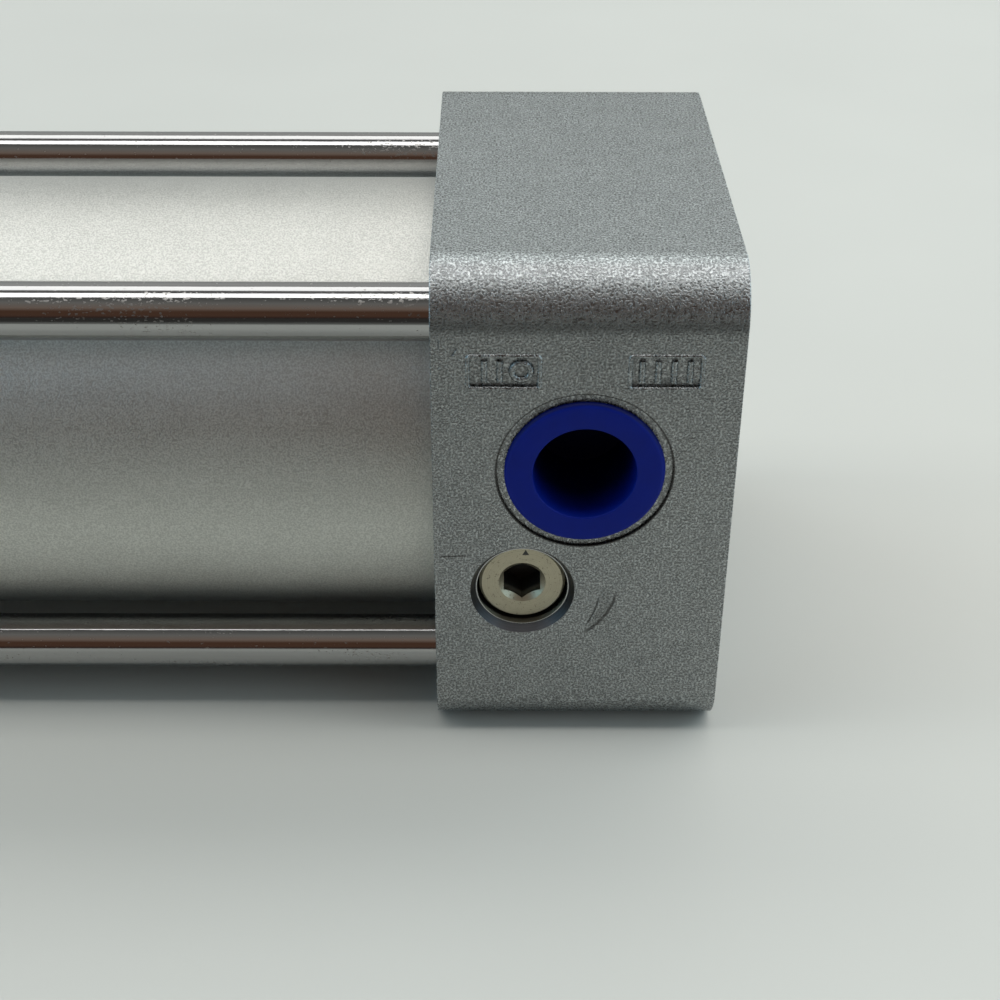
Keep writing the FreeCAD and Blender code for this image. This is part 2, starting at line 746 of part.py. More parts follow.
def port_plug(label, x):
    """A hollow plastic dust plug whose flange sits in the spot face and stands a little proud."""
    plug = new_body(label)
    under = "plug_length - plug_proud - spot_face_depth"
    half = [
        ("0", "0"),
        ("plug_radius - plug_taper - plug_edge", "0"),
        ("plug_radius - plug_taper", "plug_edge"),
        ("plug_radius", under),
        ("plug_flange_radius", under),
        ("plug_flange_radius", "plug_length - plug_edge"),
        ("plug_flange_radius - plug_edge", "plug_length"),
        ("plug_cup_radius", "plug_length"),
        ("plug_cup_radius", "plug_bottom"),
        ("0", "plug_bottom"),
    ]
    turned(plug, half, axis="V_Axis")
    place(plug, x, "port_floor + plug_end_room", "port_height")


def from_rear(depth):
    """The place along X of a depth into the rear cap, from its tube side."""
    return f"cap_depth - ({depth})"


def from_front(depth):
    """The place along X of a depth into the front cap, from its tube side."""
    return f"front_cap_start + ({depth})"


def check_and_write():
    """Stops at any failed feature, cut that cuts nothing or bad solid, then writes the pieces."""
    doc.recompute()
    for item in doc.Objects:
        if "Invalid" in item.State or "Error" in item.State:
            raise RuntimeError(f"{item.Label} failed: {item.State}")
        if item.TypeId in ("PartDesign::Groove", "PartDesign::Pocket"):
            if item.Shape.Volume >= item.BaseFeature.Shape.Volume:
                raise RuntimeError(f"{item.Label} takes nothing away")
    for piece in pieces:
        if piece.Shape.isNull() or not piece.Shape.isValid() or len(piece.Shape.Solids) != 1:
            raise RuntimeError(f"{piece.Label} is not one valid solid")
    os.makedirs("parts", exist_ok=True)
    for piece in pieces:
        piece.Shape.exportStep(f"parts/{piece.Label}.step")
    print(len(pieces), "pieces written")


sheet = fill_sheets()
square_cap("rear_cap", from_rear, "0", through=False)
square_cap("front_cap", from_front, "front_cap_start", through=True)
barrel_tube()
for corner, (along_y, along_z) in CORNERS.items():
    tie_rod(corner, along_y, along_z)
    tie_rod_nut("rear", corner, along_y, along_z)
    tie_rod_nut("front", corner, along_y, along_z)
for end, along in (("rear", from_rear), ("front", from_front)):
    o_ring(f"{end}_tube_seal", "tube_seal_section", "tube_seal_radius", along("-spigot_length / 2"))
    cushion_needle(f"{end}_cushion_needle", along("needle_place"))
    o_ring(
        f"{end}_needle_seal",
        "needle_seal_section",
        "needle_seal_radius",
        along("needle_place"),
        "needle_tip_height + needle_groove_start + needle_groove_length / 2",
        "-needle_drop",
        axis=(1, 0, 0),
    )
    port_plug(f"{end}_port_plug", along("port_place"))
cushion_seal("rear_cushion_seal", from_rear("-spigot_length"), 180)
cushion_seal("front_cushion_seal", from_front("-spigot_length"), 0)
rod_bushing()
rod_seal()
piston_rod()
piston()
o_ring("piston_bore_seal", "stub_seal_section", "stub_seal_radius", "piston_start + piston_length / 2")
SEAL_BACK = "piston_land + piston_seal_length - seal_side_room / 2"
piston_seal("rear_piston_seal", f"piston_start + {SEAL_BACK}", 180)
piston_seal("front_piston_seal", f"piston_end - ({SEAL_BACK})", 0)
wear_ring()
cushion_spear("rear_cushion_spear", "rear_spear_length", "piston_start", 180)
cushion_spear("front_cushion_spear", "front_spear_length", "piston_end", 0)
hexagon_nut("piston_nut", "piston_nut_thickness", "stub_end + stub_proud")
hexagon_nut("rod_nut", "rod_nut_thickness", "rod_nut_start")
check_and_write()
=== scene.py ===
# %% [markdown]
# A tie rod cylinder lies on a pale table. Compressed air drives a piston along its tube, and four
# tie rods draw two square die-cast caps onto the tube's ends. The CAD model gives every piece its
# place and size. This lesson dresses that model: most solids only need a finish, and new pieces are
# made where screw threads, moulded edges and cast relief are too fine for the solids.

# %% Load the CAD frame
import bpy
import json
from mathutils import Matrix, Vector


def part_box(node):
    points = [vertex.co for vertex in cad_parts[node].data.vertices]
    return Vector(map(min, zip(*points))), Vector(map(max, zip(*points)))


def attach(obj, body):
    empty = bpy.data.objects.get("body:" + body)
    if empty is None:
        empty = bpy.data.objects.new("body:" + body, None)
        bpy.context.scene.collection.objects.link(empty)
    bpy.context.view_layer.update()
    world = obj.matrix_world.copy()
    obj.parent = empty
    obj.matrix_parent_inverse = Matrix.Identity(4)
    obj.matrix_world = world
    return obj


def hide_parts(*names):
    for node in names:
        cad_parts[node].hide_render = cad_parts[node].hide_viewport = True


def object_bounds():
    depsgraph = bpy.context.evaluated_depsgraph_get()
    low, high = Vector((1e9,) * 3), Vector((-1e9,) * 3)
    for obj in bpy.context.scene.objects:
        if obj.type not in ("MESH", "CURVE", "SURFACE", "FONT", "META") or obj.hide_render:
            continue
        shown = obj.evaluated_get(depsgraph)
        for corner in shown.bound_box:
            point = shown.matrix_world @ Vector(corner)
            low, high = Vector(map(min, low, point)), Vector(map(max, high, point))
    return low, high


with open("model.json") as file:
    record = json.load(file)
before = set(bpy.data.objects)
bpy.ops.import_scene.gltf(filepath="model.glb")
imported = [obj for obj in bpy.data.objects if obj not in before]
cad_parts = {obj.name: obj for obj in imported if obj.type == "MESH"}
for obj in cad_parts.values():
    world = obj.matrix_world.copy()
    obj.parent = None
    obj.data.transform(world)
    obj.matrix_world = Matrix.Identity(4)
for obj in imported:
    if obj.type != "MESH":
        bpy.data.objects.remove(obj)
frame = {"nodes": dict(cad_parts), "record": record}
cad_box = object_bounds()

# %% [markdown]
# The camera stands close in front of the rear cap, above the port side, and looks down at it. A
# camera could be dragged into place by eye. Here its place and angles were worked out from the cap's
# corners, whose real sizes are known, so the same numbers always give the same picture.

# %% Camera
import math
import bpy
from mathutils import Matrix, Vector

MM = 0.001
PICTURE_PIXELS = 1000
FOCAL_PIXELS = 1671.4
CAMERA_PLACE = Vector((21.98, 153.02, 85.75)) * MM
CAMERA_PITCH = math.radians(32.99)
CAMERA_YAW = math.radians(-0.28)
CAMERA_ROLL = math.radians(0.27)
CLIP_START = 10 * MM

ahead = Vector((math.sin(CAMERA_YAW) * math.cos(CAMERA_PITCH),
                -math.cos(CAMERA_YAW) * math.cos(CAMERA_PITCH),
                -math.sin(CAMERA_PITCH)))
level = Vector((-math.cos(CAMERA_YAW), -math.sin(CAMERA_YAW), 0))
upright = level.cross(ahead)
right = math.cos(CAMERA_ROLL) * level + math.sin(CAMERA_ROLL) * upright
up = math.cos(CAMERA_ROLL) * upright - math.sin(CAMERA_ROLL) * level

scene = bpy.context.scene
lens = bpy.data.cameras.new("table_camera")
lens.lens = FOCAL_PIXELS * lens.sensor_width / PICTURE_PIXELS
lens.clip_start = CLIP_START
camera = bpy.data.objects.new("table_camera", lens)
camera.matrix_world = Matrix.Translation(CAMERA_PLACE) @ Matrix((right, up, -ahead)).transposed().to_4x4()
scene.collection.objects.link(camera)
scene.camera = camera
scene.view_settings.view_transform = "Standard"
print(f"camera: {lens.lens:.1f} mm lens, {math.degrees(CAMERA_PITCH):.1f} degrees down")

# %% [markdown]
# Bright metal shows what stands round it more than its own colour. Two long soft panels, one over
# the table and one behind it, draw the white bands on the rods and the pale edge on the cap. A lamp
# with a small size would give hard sparks instead. Each panel is set by the angles between which it
# is seen from the table and by its brightness, and its power follows from those.

# %% Light panels
PANEL_LENGTH = 8.0


def soft_panel(name, low_angle, high_angle, distance, brightness):
    """A long panel across the table, between two angles counted from the viewer's side over the top."""
    middle = math.radians((low_angle + high_angle) / 2)
    half = math.radians((high_angle - low_angle) / 2)
    away = Vector((0, math.cos(middle), math.sin(middle)))
    along = Vector((1, 0, 0))
    lamp = bpy.data.lights.new(name, "AREA")
    lamp.shape = "RECTANGLE"
    lamp.size = PANEL_LENGTH
    lamp.size_y = 2 * distance * math.tan(half)
    lamp.energy = brightness * math.pi * lamp.size * lamp.size_y
    panel = bpy.data.objects.new(name, lamp)
    turn = Matrix((along, away.cross(along), away)).transposed().to_4x4()
    panel.matrix_world = Matrix.Translation(away * distance) @ turn
    panel.visible_camera = False
    scene.collection.objects.link(panel)
    print(f"{name}: {lamp.size_y:.2f} m deep, {lamp.energy:.0f} W")


soft_panel("overhead_panel", low_angle=79.5, high_angle=96.5, distance=2.4, brightness=4.1)
soft_panel("back_panel", low_angle=111, high_angle=134, distance=3.0, brightness=2.2)

# %% [markdown]
# Node trees are long to write out one link at a time. This small class stands for one socket of a
# tree, so that a sum or product of two wires adds the Math node for it, and one method adds any
# other node. The same class serves the room, the finishes and the Geometry Nodes further down.

# %% Wires


class Wire:
    """One output socket of a node tree. Operators add Math nodes, and node() adds any other."""

    def __init__(self, tree, socket=None):
        self.tree = tree
        self.socket = socket

    def node(self, kind, settings, sockets, output=0):
        """Adds a node: its settings first, then its sockets' values or wires. Returns one output."""
        made = self.tree.nodes.new(kind)
        for name, value in settings.items():
            if name == "stops":
                set_stops(made.color_ramp, value)
            else:
                setattr(made, name, value)
        for name, value in sockets.items():
            target = find_socket(made.inputs, name)
            if isinstance(value, Wire):
                self.tree.links.new(value.socket, target)
            else:
                target.default_value = value
        if made.outputs:
            return Wire(self.tree, find_socket(made.outputs, output))

    def math(self, operation, *values):
        names = ("Value", "Value_001", "Value_002")
        return self.node("ShaderNodeMath", {"operation": operation}, dict(zip(names, values)))

    def __add__(self, other):
        return self.math("ADD", self, other)

    def __radd__(self, other):
        return self.math("ADD", other, self)

    def __sub__(self, other):
        return self.math("SUBTRACT", self, other)

    def __rsub__(self, other):
        return self.math("SUBTRACT", other, self)

    def __mul__(self, other):
        return self.math("MULTIPLY", self, other)

    def __rmul__(self, other):
        return self.math("MULTIPLY", other, self)

    def __truediv__(self, other):
        return self.math("DIVIDE", self, other)

    def __pow__(self, other):
        return self.math("POWER", self, other)

    def __abs__(self):
        return self.math("ABSOLUTE", self)


def find_socket(sockets, key):
    """A socket by its number, its identifier or its name, in that order."""
    if isinstance(key, int):
        return sockets[key]
    found = [s for s in sockets if s.identifier == key] or [s for s in sockets if s.name == key]
    return found[0]


def set_stops(ramp, stops):
    """Colour ramp stops as (place, colour) pairs."""
    while len(ramp.elements) < len(stops):
        ramp.elements.new(1.0)
    for element, (place, colour) in zip(ramp.elements, stops):
        element.position = place
        element.color = (*colour, 1)


def fade(value, start, end):
    """0 at start, 1 at end, with a smooth change between them."""
    sockets = {"Value": value, "From Min": start, "From Max": end}
    return value.node("ShaderNodeMapRange", {"interpolation_type": "SMOOTHSTEP"}, sockets, "Result")


def blend_colours(share, first, second):
    """The first colour where share is 0 and the second where it is 1."""
    sockets = {"Factor_Float": share}
    for name, colour in (("A_Color", first), ("B_Color", second)):
        sockets[name] = colour if isinstance(colour, Wire) else (*colour, 1)
    return share.node("ShaderNodeMix", {"data_type": "RGBA"}, sockets, "Result_Color")


def axes(vector):
    """The three parts of a vector, as wires."""
    split = vector.node("ShaderNodeSeparateXYZ", {}, {"Vector": vector}).socket.node
    return [Wire(vector.tree, split.outputs[name]) for name in "XYZ"]


print("wires: ready")

# %% [markdown]
# Past the panels the room is dim: warm and dark on the viewer's side, greyer above and paler behind
# the table. Both ends are open to cool daylight, stronger on the right, which the rods never mirror
# but which fills the shadows. A photograph of a room would light it as well, but a colour that
# depends on direction is smaller, has no picture in it and can be read. The camera itself sees only
# a plain pale wall, through the Light Path node.

# %% Room
BACK_TO_FRONT = (-0.35, 0.25)
RIGHT_TO_LEFT = (-0.2, 0.2)
WINDOW_EDGE = (0.52, 0.90)

room_world = bpy.data.worlds.new("dim_room")
room_world.use_nodes = True
room_world.node_tree.nodes.clear()
room = Wire(room_world.node_tree)
east, north, height = axes(room.node("ShaderNodeTexCoord", {}, {}, "Generated"))
front_stops = [(0.0, (0.063, 0.036, 0.030)), (0.15, (0.131, 0.070, 0.047)), (0.40, (0.125, 0.064, 0.041)),
               (0.58, (0.296, 0.224, 0.185)), (0.82, (0.262, 0.257, 0.245)), (0.94, (0.150, 0.150, 0.145))]
back_stops = [(0.0, (0.26, 0.27, 0.26)), (0.30, (0.50, 0.515, 0.51)), (0.55, (0.63, 0.64, 0.63)),
              (0.95, (0.20, 0.20, 0.20))]
front_side = room.node("ShaderNodeValToRGB", {"stops": front_stops}, {"Fac": height}, "Color")
back_side = room.node("ShaderNodeValToRGB", {"stops": back_stops}, {"Fac": height}, "Color")
across = blend_colours(fade(north, *BACK_TO_FRONT), back_side, front_side)
left_end = (0.78, 1.28, 1.62)
right_end = (1.36, 1.84, 2.14)
wall = (0.62, 0.66, 0.64)
daylight = blend_colours(fade(east, *RIGHT_TO_LEFT), right_end, left_end)
glow = blend_colours(fade(abs(east), *WINDOW_EDGE), across, daylight)
glow = blend_colours(room.node("ShaderNodeLightPath", {}, {}, "Is Camera Ray"), glow, wall)
backdrop = room.node("ShaderNodeBackground", {}, {"Color": glow})
room.node("ShaderNodeOutputWorld", {}, {"Surface": backdrop})
scene.world = room_world
print("room:", len(room_world.node_tree.nodes), "nodes")

# %% [markdown]
# A finish is a material whose colour, roughness and fine relief come from patterns in space. All of
# them here read Object coordinates in millimetres, and because every piece keeps its place in its
# mesh, those are also places on the cylinder. These helpers start and end a finish.

# %% Finish helpers


def start_finish(name):
    """A new empty material, and its surface's places in millimetres as a wire."""
    material = bpy.data.materials.new(name)
    material.use_nodes = True
    material.node_tree.nodes.clear()
    place = Wire(material.node_tree).node("ShaderNodeTexCoord", {}, {}, "Object")
    return material, place.node("ShaderNodeVectorMath", {"operation": "SCALE"},
                                {"Vector": place, "Scale": 1 / MM}, "Vector")


def end_finish(material, place, sockets):
    """Gives the material its one Principled shader."""
    shader = place.node("ShaderNodeBsdfPrincipled", {}, sockets, "BSDF")
    place.node("ShaderNodeOutputMaterial", {}, {"Surface": shader})
    print(f"{material.name}: {len(material.node_tree.nodes)} nodes")
    return material


def noise(place, size, detail=2.0, crumble=0.5):
    """Soft random spots about that size in millimetres, from 0 to 1 with a mean of a half."""
    sockets = {"Vector": place, "Scale": 1 / size, "Detail": detail, "Roughness": crumble}
    return place.node("ShaderNodeTexNoise", {}, sockets, "Fac")


def lines(distance, size):
    """Random fine lines across a distance, such as a lathe's turning marks."""
    sockets = {"W": distance, "Scale": 1 / size, "Detail": 1.0}
    return distance.node("ShaderNodeTexNoise", {"noise_dimensions": "1D"}, sockets, "Fac")


def stretch(place, factors):
    """Places scaled by a factor on each axis."""
    sockets = {"Vector": place, "Vector_001": factors}
    return place.node("ShaderNodeVectorMath", {"operation": "MULTIPLY"}, sockets, "Vector")


def shade(colour, tone):
    """A colour made lighter or darker by a tone."""
    return tone.node("ShaderNodeVectorMath", {"operation": "SCALE"},
                     {"Vector": colour, "Scale": tone}, "Vector")


def relief(height, depth):
    """A normal from a height between 0 and 1, for a relief that deep in millimetres."""
    return height.node("ShaderNodeBump", {}, {"Height": height, "Distance": depth * MM}, "Normal")


def reach(first, second):
    """The distance from an axis, from two distances square to it."""
    return (first * first + second * second) ** 0.5


print("finish helpers: ready")

# %% [markdown]
# The table is a plain pale sheet, a little cool, with a trace of unevenness. Painted light makes its
# colour a little lighter towards the window side on the right. It is staging and not part of the
# object, and it is wide enough to fill every view. Metal under an even white sheet looks flat, so
# product photographers lay a black card in front, out of the picture. Here no card is made: painted
# shade makes the sheet dark there to reflected rays only, through the Light Path node, and it stays
# pale to the camera.

# %% Table
import bmesh

TABLE_COLOUR = (0.497, 0.496, 0.454)
TABLE_HALF_SIDE = 10.0
UNEVEN_SIZE = 40
REFLECTION_SHADE_START = 70
REFLECTION_SHADE_END = 225
REFLECTION_SHADE_DARKNESS = 0.95
WINDOW_SIDE = -80
FAR_SIDE = 100

material, place = start_finish("pale_table")
reflected = place.node("ShaderNodeLightPath", {}, {}, "Is Glossy Ray")
x, y = axes(place)[:2]
# Painted shade: to reflected rays the sheet is darkened in front of the cylinder.
painted_reflection_shade = REFLECTION_SHADE_DARKNESS * fade(y, REFLECTION_SHADE_START, REFLECTION_SHADE_END)
# Painted light: the sheet's colour is up to 7% lighter towards the window side.
painted_window_light = 0.95 + 0.07 * fade(x, FAR_SIDE, WINDOW_SIDE)
table_tone = painted_window_light * (0.97 + 0.06 * noise(place, UNEVEN_SIZE)) * (1 - painted_reflection_shade * reflected)
pale_table = end_finish(material, place, {
    "Base Color": shade(TABLE_COLOUR, table_tone),
    "Roughness": 0.55,
    "Specular IOR Level": 0.3,
})
sheet = bmesh.new()
bmesh.ops.create_grid(sheet, x_segments=2, y_segments=2, size=TABLE_HALF_SIDE,
                      matrix=Matrix.Translation((0, 0, cad_box[0].z)))
table_mesh = bpy.data.meshes.new("table")
sheet.to_mesh(table_mesh)
table_mesh.materials.append(pale_table)
table = bpy.data.objects.new("table", table_mesh)
scene.collection.objects.link(table)
print(f"table: at {cad_box[0].z / MM:.1f} mm")

# %% [markdown]
# A tool has cut the caps in the ports, needle holes and nut seats and on the boss, and the finish
# changes there. Those places could be measured in the viewport, but the record's mounts and the
# nodes' boxes already hold them, so they follow the CAD model when it changes. Both caps are alike,
# and a distance from the nearer end serves for both.

# %% Places on the caps
mounts = {mount["name"]: mount for mount in frame["record"]["mounts"]}


def middle_of(node):
    """The centre of a node's box, in millimetres."""
    low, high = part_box(node)
    return (low + high) / 2 / MM


def radius_of(node):
    """Half of a node's box along X, in millimetres, for a piece that is round about Y."""
    low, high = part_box(node)
    return (high.x - low.x) / 2 / MM


def from_nearer_end(x):
    """The distance along the cylinder from its nearer end."""
    return x.math("MINIMUM", x, CYLINDER_LENGTH - x)


CYLINDER_LENGTH = mounts["front_face"]["pos_m"][0] / MM
SPOT_FACE_GAP = 0.75
NEEDLE_GAP = 0.225
NEEDLE_LIP = 0.6
port_middle = middle_of("rear_port_plug")
needle_middle = middle_of("rear_cushion_needle")
nut_middle = middle_of("rear_nut_upper_port_side")
SPOT_FACE_RADIUS = radius_of("rear_port_plug") + SPOT_FACE_GAP
NEEDLE_HOLE_RADIUS = radius_of("rear_cushion_needle") + NEEDLE_GAP
NEEDLE_LIP_RADIUS = NEEDLE_HOLE_RADIUS + NEEDLE_LIP
NUT_SEAT_RADIUS = 5.2
NUT_SEAT_DEPTH = 19.0
CAP_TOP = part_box("rear_cap")[1].z / MM
PORT_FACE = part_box("rear_cap")[1].y / MM
print("port at", [round(v, 2) for v in port_middle], "needle at", [round(v, 2) for v in needle_middle])

# %% [markdown]
# The rear cap has been handled: a curved dent with two dark edges below the port, a few scratches in
# its upper corner and a short casting line. Each mark is a distance from a line or an arc on the port
# face, turned into a mask. They could be cut into the mesh, but they are thinner than a hair.

# %% Handling marks
DENT_OUTER = ((17.27, -6.73), 7.05, (10.32, -7.91), (13.25, -12.52))
DENT_INNER = ((21.49, -6.89), 9.67, (11.94, -8.39), (13.03, -11.56))
SCRATCHES = [((25.08, 18.31), (25.76, 17.35)), ((26.76, 19.19), (26.75, 18.02)),
             ((27.25, -3.68), (24.18, -3.57))]
OUTER_EDGE_WIDTH = 0.22
INNER_EDGE_WIDTH = 0.12
HOLLOW_EDGE = 0.4
HOLLOW_SHARE = 0.30
SCRATCH_WIDTH = 0.10


def share_along(x, z, start, end):
    """How far a point is along a line from start to end, from 0 to 1 between them."""
    run = Vector(end) - Vector(start)
    pull = run / run.length_squared
    return (x - start[0]) * pull.x + (z - start[1]) * pull.y


def scratch(x, z, start, end, width):
    """A mask for a straight scratch that thins out at both ends."""
    share = share_along(x, z, start, end)
    side = (Vector(end) - Vector(start)).orthogonal().normalized()
    off = abs((x - start[0]) * side.x + (z - start[1]) * side.y)
    return fade(off, width, width / 3) * fade(abs(share - 0.5), 0.5, 0.3)


def circle_gap(x, z, arc):
    """How far a point is outside an arc's circle."""
    (across, above), radius = arc[:2]
    return reach(x - across, z - above) - radius


def dent_edge(x, z, centre, radius, start, end, width):
    """A mask for an arc of a circle, from start to end, that thins out at both ends."""
    share = share_along(x, z, start, end)
    off = abs(circle_gap(x, z, (centre, radius)))
    outwards = (Vector(start) + Vector(end)) / 2 - Vector(centre)
    this_side = fade((x - centre[0]) * outwards.x + (z - centre[1]) * outwards.y, 0, 1)
    return this_side * fade(off, width, width / 3) * fade(abs(share - 0.5), 0.62, 0.36)


def dent_hollow(x, z):
    """A mask for the sickle between the dent's two edges."""
    inside = fade(circle_gap(x, z, DENT_OUTER), 0.0, -HOLLOW_EDGE)
    outside = fade(circle_gap(x, z, DENT_INNER), 0.0, HOLLOW_EDGE)
    share = share_along(x, z, *DENT_OUTER[2:])
    return inside * outside * fade(abs(share - 0.5), 0.6, 0.2)


def handling_marks(x, y, z):
    """All the marks on the rear cap's port face, from 0 to 1."""
    marks = HOLLOW_SHARE * dent_hollow(x, z)
    marks = marks + dent_edge(x, z, *DENT_OUTER, OUTER_EDGE_WIDTH)
    marks = marks + dent_edge(x, z, *DENT_INNER, INNER_EDGE_WIDTH)
    for start, end in SCRATCHES:
        marks = marks + scratch(x, z, start, end, SCRATCH_WIDTH)
    return marks * fade(y, PORT_FACE - 0.6, PORT_FACE - 0.3)


print("handling marks: one dent and", len(SCRATCHES), "scratches")

# %% [markdown]
# Cut metal is smoother than cast metal and carries the tool's ring marks. A second material on those
# faces would need them picked by hand. Here masks find them by their distance from each hole's axis,
# with an edge only a few hundredths of a millimetre wide.

# %% Cut places
NEEDLE_RING_STEP = 0.12
OPEN_SIDE = (12, 13)


def disc(distance, radius):
    """A mask for what is nearer than a radius, with a crisp edge."""
    return fade(distance, radius + 0.03, radius - 0.01)


def cut_places(x, y, z):
    """Masks for all that is cut and for the needle hole's lip, and the ring marks there."""
    inwards = from_nearer_end(x)
    needle = reach(inwards - needle_middle.x, z - needle_middle.z)
    nut = reach(abs(y) - nut_middle.y, abs(z) - nut_middle.z)
    bored = fade(y, *OPEN_SIDE) * disc(needle, NEEDLE_LIP_RADIUS)
    seats = disc(nut, NUT_SEAT_RADIUS) * fade(inwards, NUT_SEAT_DEPTH + 1, NUT_SEAT_DEPTH)
    boss = fade(x, CYLINDER_LENGTH + 0.05, CYLINDER_LENGTH + 0.15)
    faced = seats.math("MAXIMUM", seats, boss)
    lip = bored * fade(needle, NEEDLE_HOLE_RADIUS + 0.04, NEEDLE_HOLE_RADIUS + 0.12)
    rings = lines(needle * bored + (reach(y, z) + x) * faced, NEEDLE_RING_STEP)
    return faced.math("MAXIMUM", faced, bored), lip, rings


print("cut places: needle lip", round(NEEDLE_LIP_RADIUS, 2), "mm, nut seat", NUT_SEAT_RADIUS, "mm")

# %% [markdown]
# The caps are die-cast aluminium, shot blasted to an even grey with a glitter of fine grain. The grain
# is calmer on the rounding along each upper edge. Painted shade darkens a band where that rounding
# meets the side, and painted light makes the top a little paler. Glitter could come from relief alone,
# but it would fade with distance, so the grain also changes the colour. Its square makes a few grains
# bright and most of them dull.

# %% Blasted skin
CAST_COLOUR = (0.286, 0.298, 0.297)
TOP_LIGHT_COLOUR = (0.336, 0.366, 0.364)
GRAIN_SIZE = 0.20
CLUMP_SIZE = 0.9
BLOTCH_SIZE = 5.0
EDGE_ROUND = 5.0
EDGE_SHADE_DARKNESS = 0.42


def blasted_skin(place, y, z):
    """The colour of the blasted metal with its painted edge shade and painted top light, and its grain from 0
    to 1.
    """
    grain = fade(noise(place, GRAIN_SIZE, 2.0, 0.65), 0.30, 0.70)
    clumps = noise(place, CLUMP_SIZE, 1.0)
    blotches = noise(place, BLOTCH_SIZE)
    side = fade(abs(y), PORT_FACE - 2.5, PORT_FACE - 1.0)
    past_edge = z - (CAP_TOP - EDGE_ROUND)
    # Painted shade: a dark band along the line where the upper rounding meets the side.
    painted_edge_shade = side * fade(abs(past_edge - 0.2), 1.1, 0.1)
    rounding = side * fade(past_edge, -0.4, 0.3) * fade(past_edge, 4.0, 2.5)
    # Painted light: the top and the half millimetre below it take a paler colour.
    painted_top_light = fade(z, CAP_TOP - 0.5, CAP_TOP - 0.02)
    sparkle = (1.15 * grain * grain - 0.38) * (1 - 0.45 * rounding)
    tone = (0.69 + sparkle + 0.35 * clumps + 0.20 * blotches) * (1 - EDGE_SHADE_DARKNESS * painted_edge_shade)
    return shade(blend_colours(painted_top_light, CAST_COLOUR, TOP_LIGHT_COLOUR), tone), grain


print("blasted skin: grain of", GRAIN_SIZE, "mm")

# %% [markdown]
# The two come together in one finish, with painted shade: a thin dark ring in the corner round each
# port. The rear cap also gets the handling marks. One function makes both materials, so that the caps
# cannot drift apart when a value changes.

# %% Cast alloy
CUT_COLOUR = (0.42, 0.42, 0.41)
LIP_COLOUR = (0.050, 0.050, 0.052)
GRIME_AND_SHADE_COLOUR = (0.035, 0.032, 0.030)
GRAIN_DEPTH = 0.032


def cast_alloy(name, handled):
    """Blasted die-cast aluminium, smoother where it is cut, with a painted shade ring round each port."""
    material, place = start_finish(name)
    x, y, z = axes(place)
    cut, lip, rings = cut_places(x, y, z)
    cut_colour = shade(blend_colours(lip, CUT_COLOUR, LIP_COLOUR), 0.80 + 0.40 * rings)
    cast_colour, grain = blasted_skin(place, y, z)
    port = reach(from_nearer_end(x) - port_middle.x, z - port_middle.z)
    # Painted shade: a thin dark ring where the spot face meets its wall round each port.
    corner = fade(y, *OPEN_SIDE) * fade(abs(port - SPOT_FACE_RADIUS), 0.15, 0.06)
    colour = blend_colours(cut, cast_colour, cut_colour)
    colour = blend_colours(0.85 * corner, colour, GRIME_AND_SHADE_COLOUR)
    surface = grain * (1 - cut) + 0.15 * rings * cut
    if handled:
        marks = handling_marks(x, y, z)
        colour = blend_colours(marks.math("MINIMUM", marks * 0.75, 0.8), colour, GRIME_AND_SHADE_COLOUR)
        surface = surface - marks
    return end_finish(material, place, {
        "Base Color": colour,
        "Metallic": 1.0,
        "Roughness": 0.275 + 0.08 * (grain - 0.5) - cut * (0.11 - 0.12 * rings) + 0.15 * lip,
        "Normal": relief(surface, GRAIN_DEPTH),
    })


rear_cast = cast_alloy("handled_cast_alloy", handled=True)
front_cast = cast_alloy("cast_alloy", handled=False)

# %% [markdown]
# The tube is drawn aluminium, etched and then clear anodised. The etch leaves an even frost that
# spreads every reflection into a soft glow, with only a trace of the draw along it. A little of the
# light is scattered under the clear skin, so the metal is not set to a full 1. Light and shade are
# also painted into its colour: painted light makes its lower half paler, a cool, pale painted
# reflection lies along its shoulder and painted shade darkens its foot. Those are masks of the height
# alone.

# %% Satin tube
TUBE_COLOUR = (0.510, 0.510, 0.472)
COOL_REFLECTION_COLOUR = (0.516, 0.552, 0.548)
FROST_SIZE = 0.17
DRAW_SIZE = 0.6
CLOUD_SIZE = 6.0
PAINTED_LIGHT_BELOW = (2, -5)
COOL_REFLECTION_FOOT = (7, 13)
COOL_REFLECTION_TOP = (17.5, 15.5)
PAINTED_SHADE_FOOT = (-10, -15)


def satin_anodised(name):
    """Drawn, etched and anodised aluminium, with light and shade painted by height."""
    material, place = start_finish(name)
    frost = fade(noise(place, FROST_SIZE), 0.32, 0.68)
    draw = noise(stretch(place, (0.02, 1.0, 1.0)), DRAW_SIZE)
    cloud = noise(place, CLOUD_SIZE)
    z = axes(place)[2]
    # Painted reflection: a cool, paler band along the tube's shoulder.
    painted_cool_reflection = fade(z, *COOL_REFLECTION_FOOT) * fade(z, *COOL_REFLECTION_TOP)
    # Painted light on the lower half and painted shade at the foot, both by height.
    painted_light_and_shade = 0.95 + 0.24 * fade(z, *PAINTED_LIGHT_BELOW) + 0.32 * painted_cool_reflection - 0.40 * fade(z, *PAINTED_SHADE_FOOT)
    tone = (0.71 + 0.32 * frost + 0.06 * draw + 0.12 * cloud) * painted_light_and_shade
    return end_finish(material, place, {
        "Base Color": shade(blend_colours(painted_cool_reflection, TUBE_COLOUR, COOL_REFLECTION_COLOUR), tone),
        "Metallic": 0.86,
        "Roughness": 0.43 + 0.06 * (frost - 0.5) + 0.06 * (draw - 0.5),
        "Normal": relief(frost, 0.018),
    })


satin_tube = satin_anodised("satin_anodised")

# %% [markdown]
# The rods are hard chromed: nearly a mirror, with faint polishing streaks along them and patches of
# small dull specks. The specks are the peaks of a noise, cut off high up, and a wider noise gathers
# them in patches. Being rough, they look light on a dark reflection and dark on a light one.

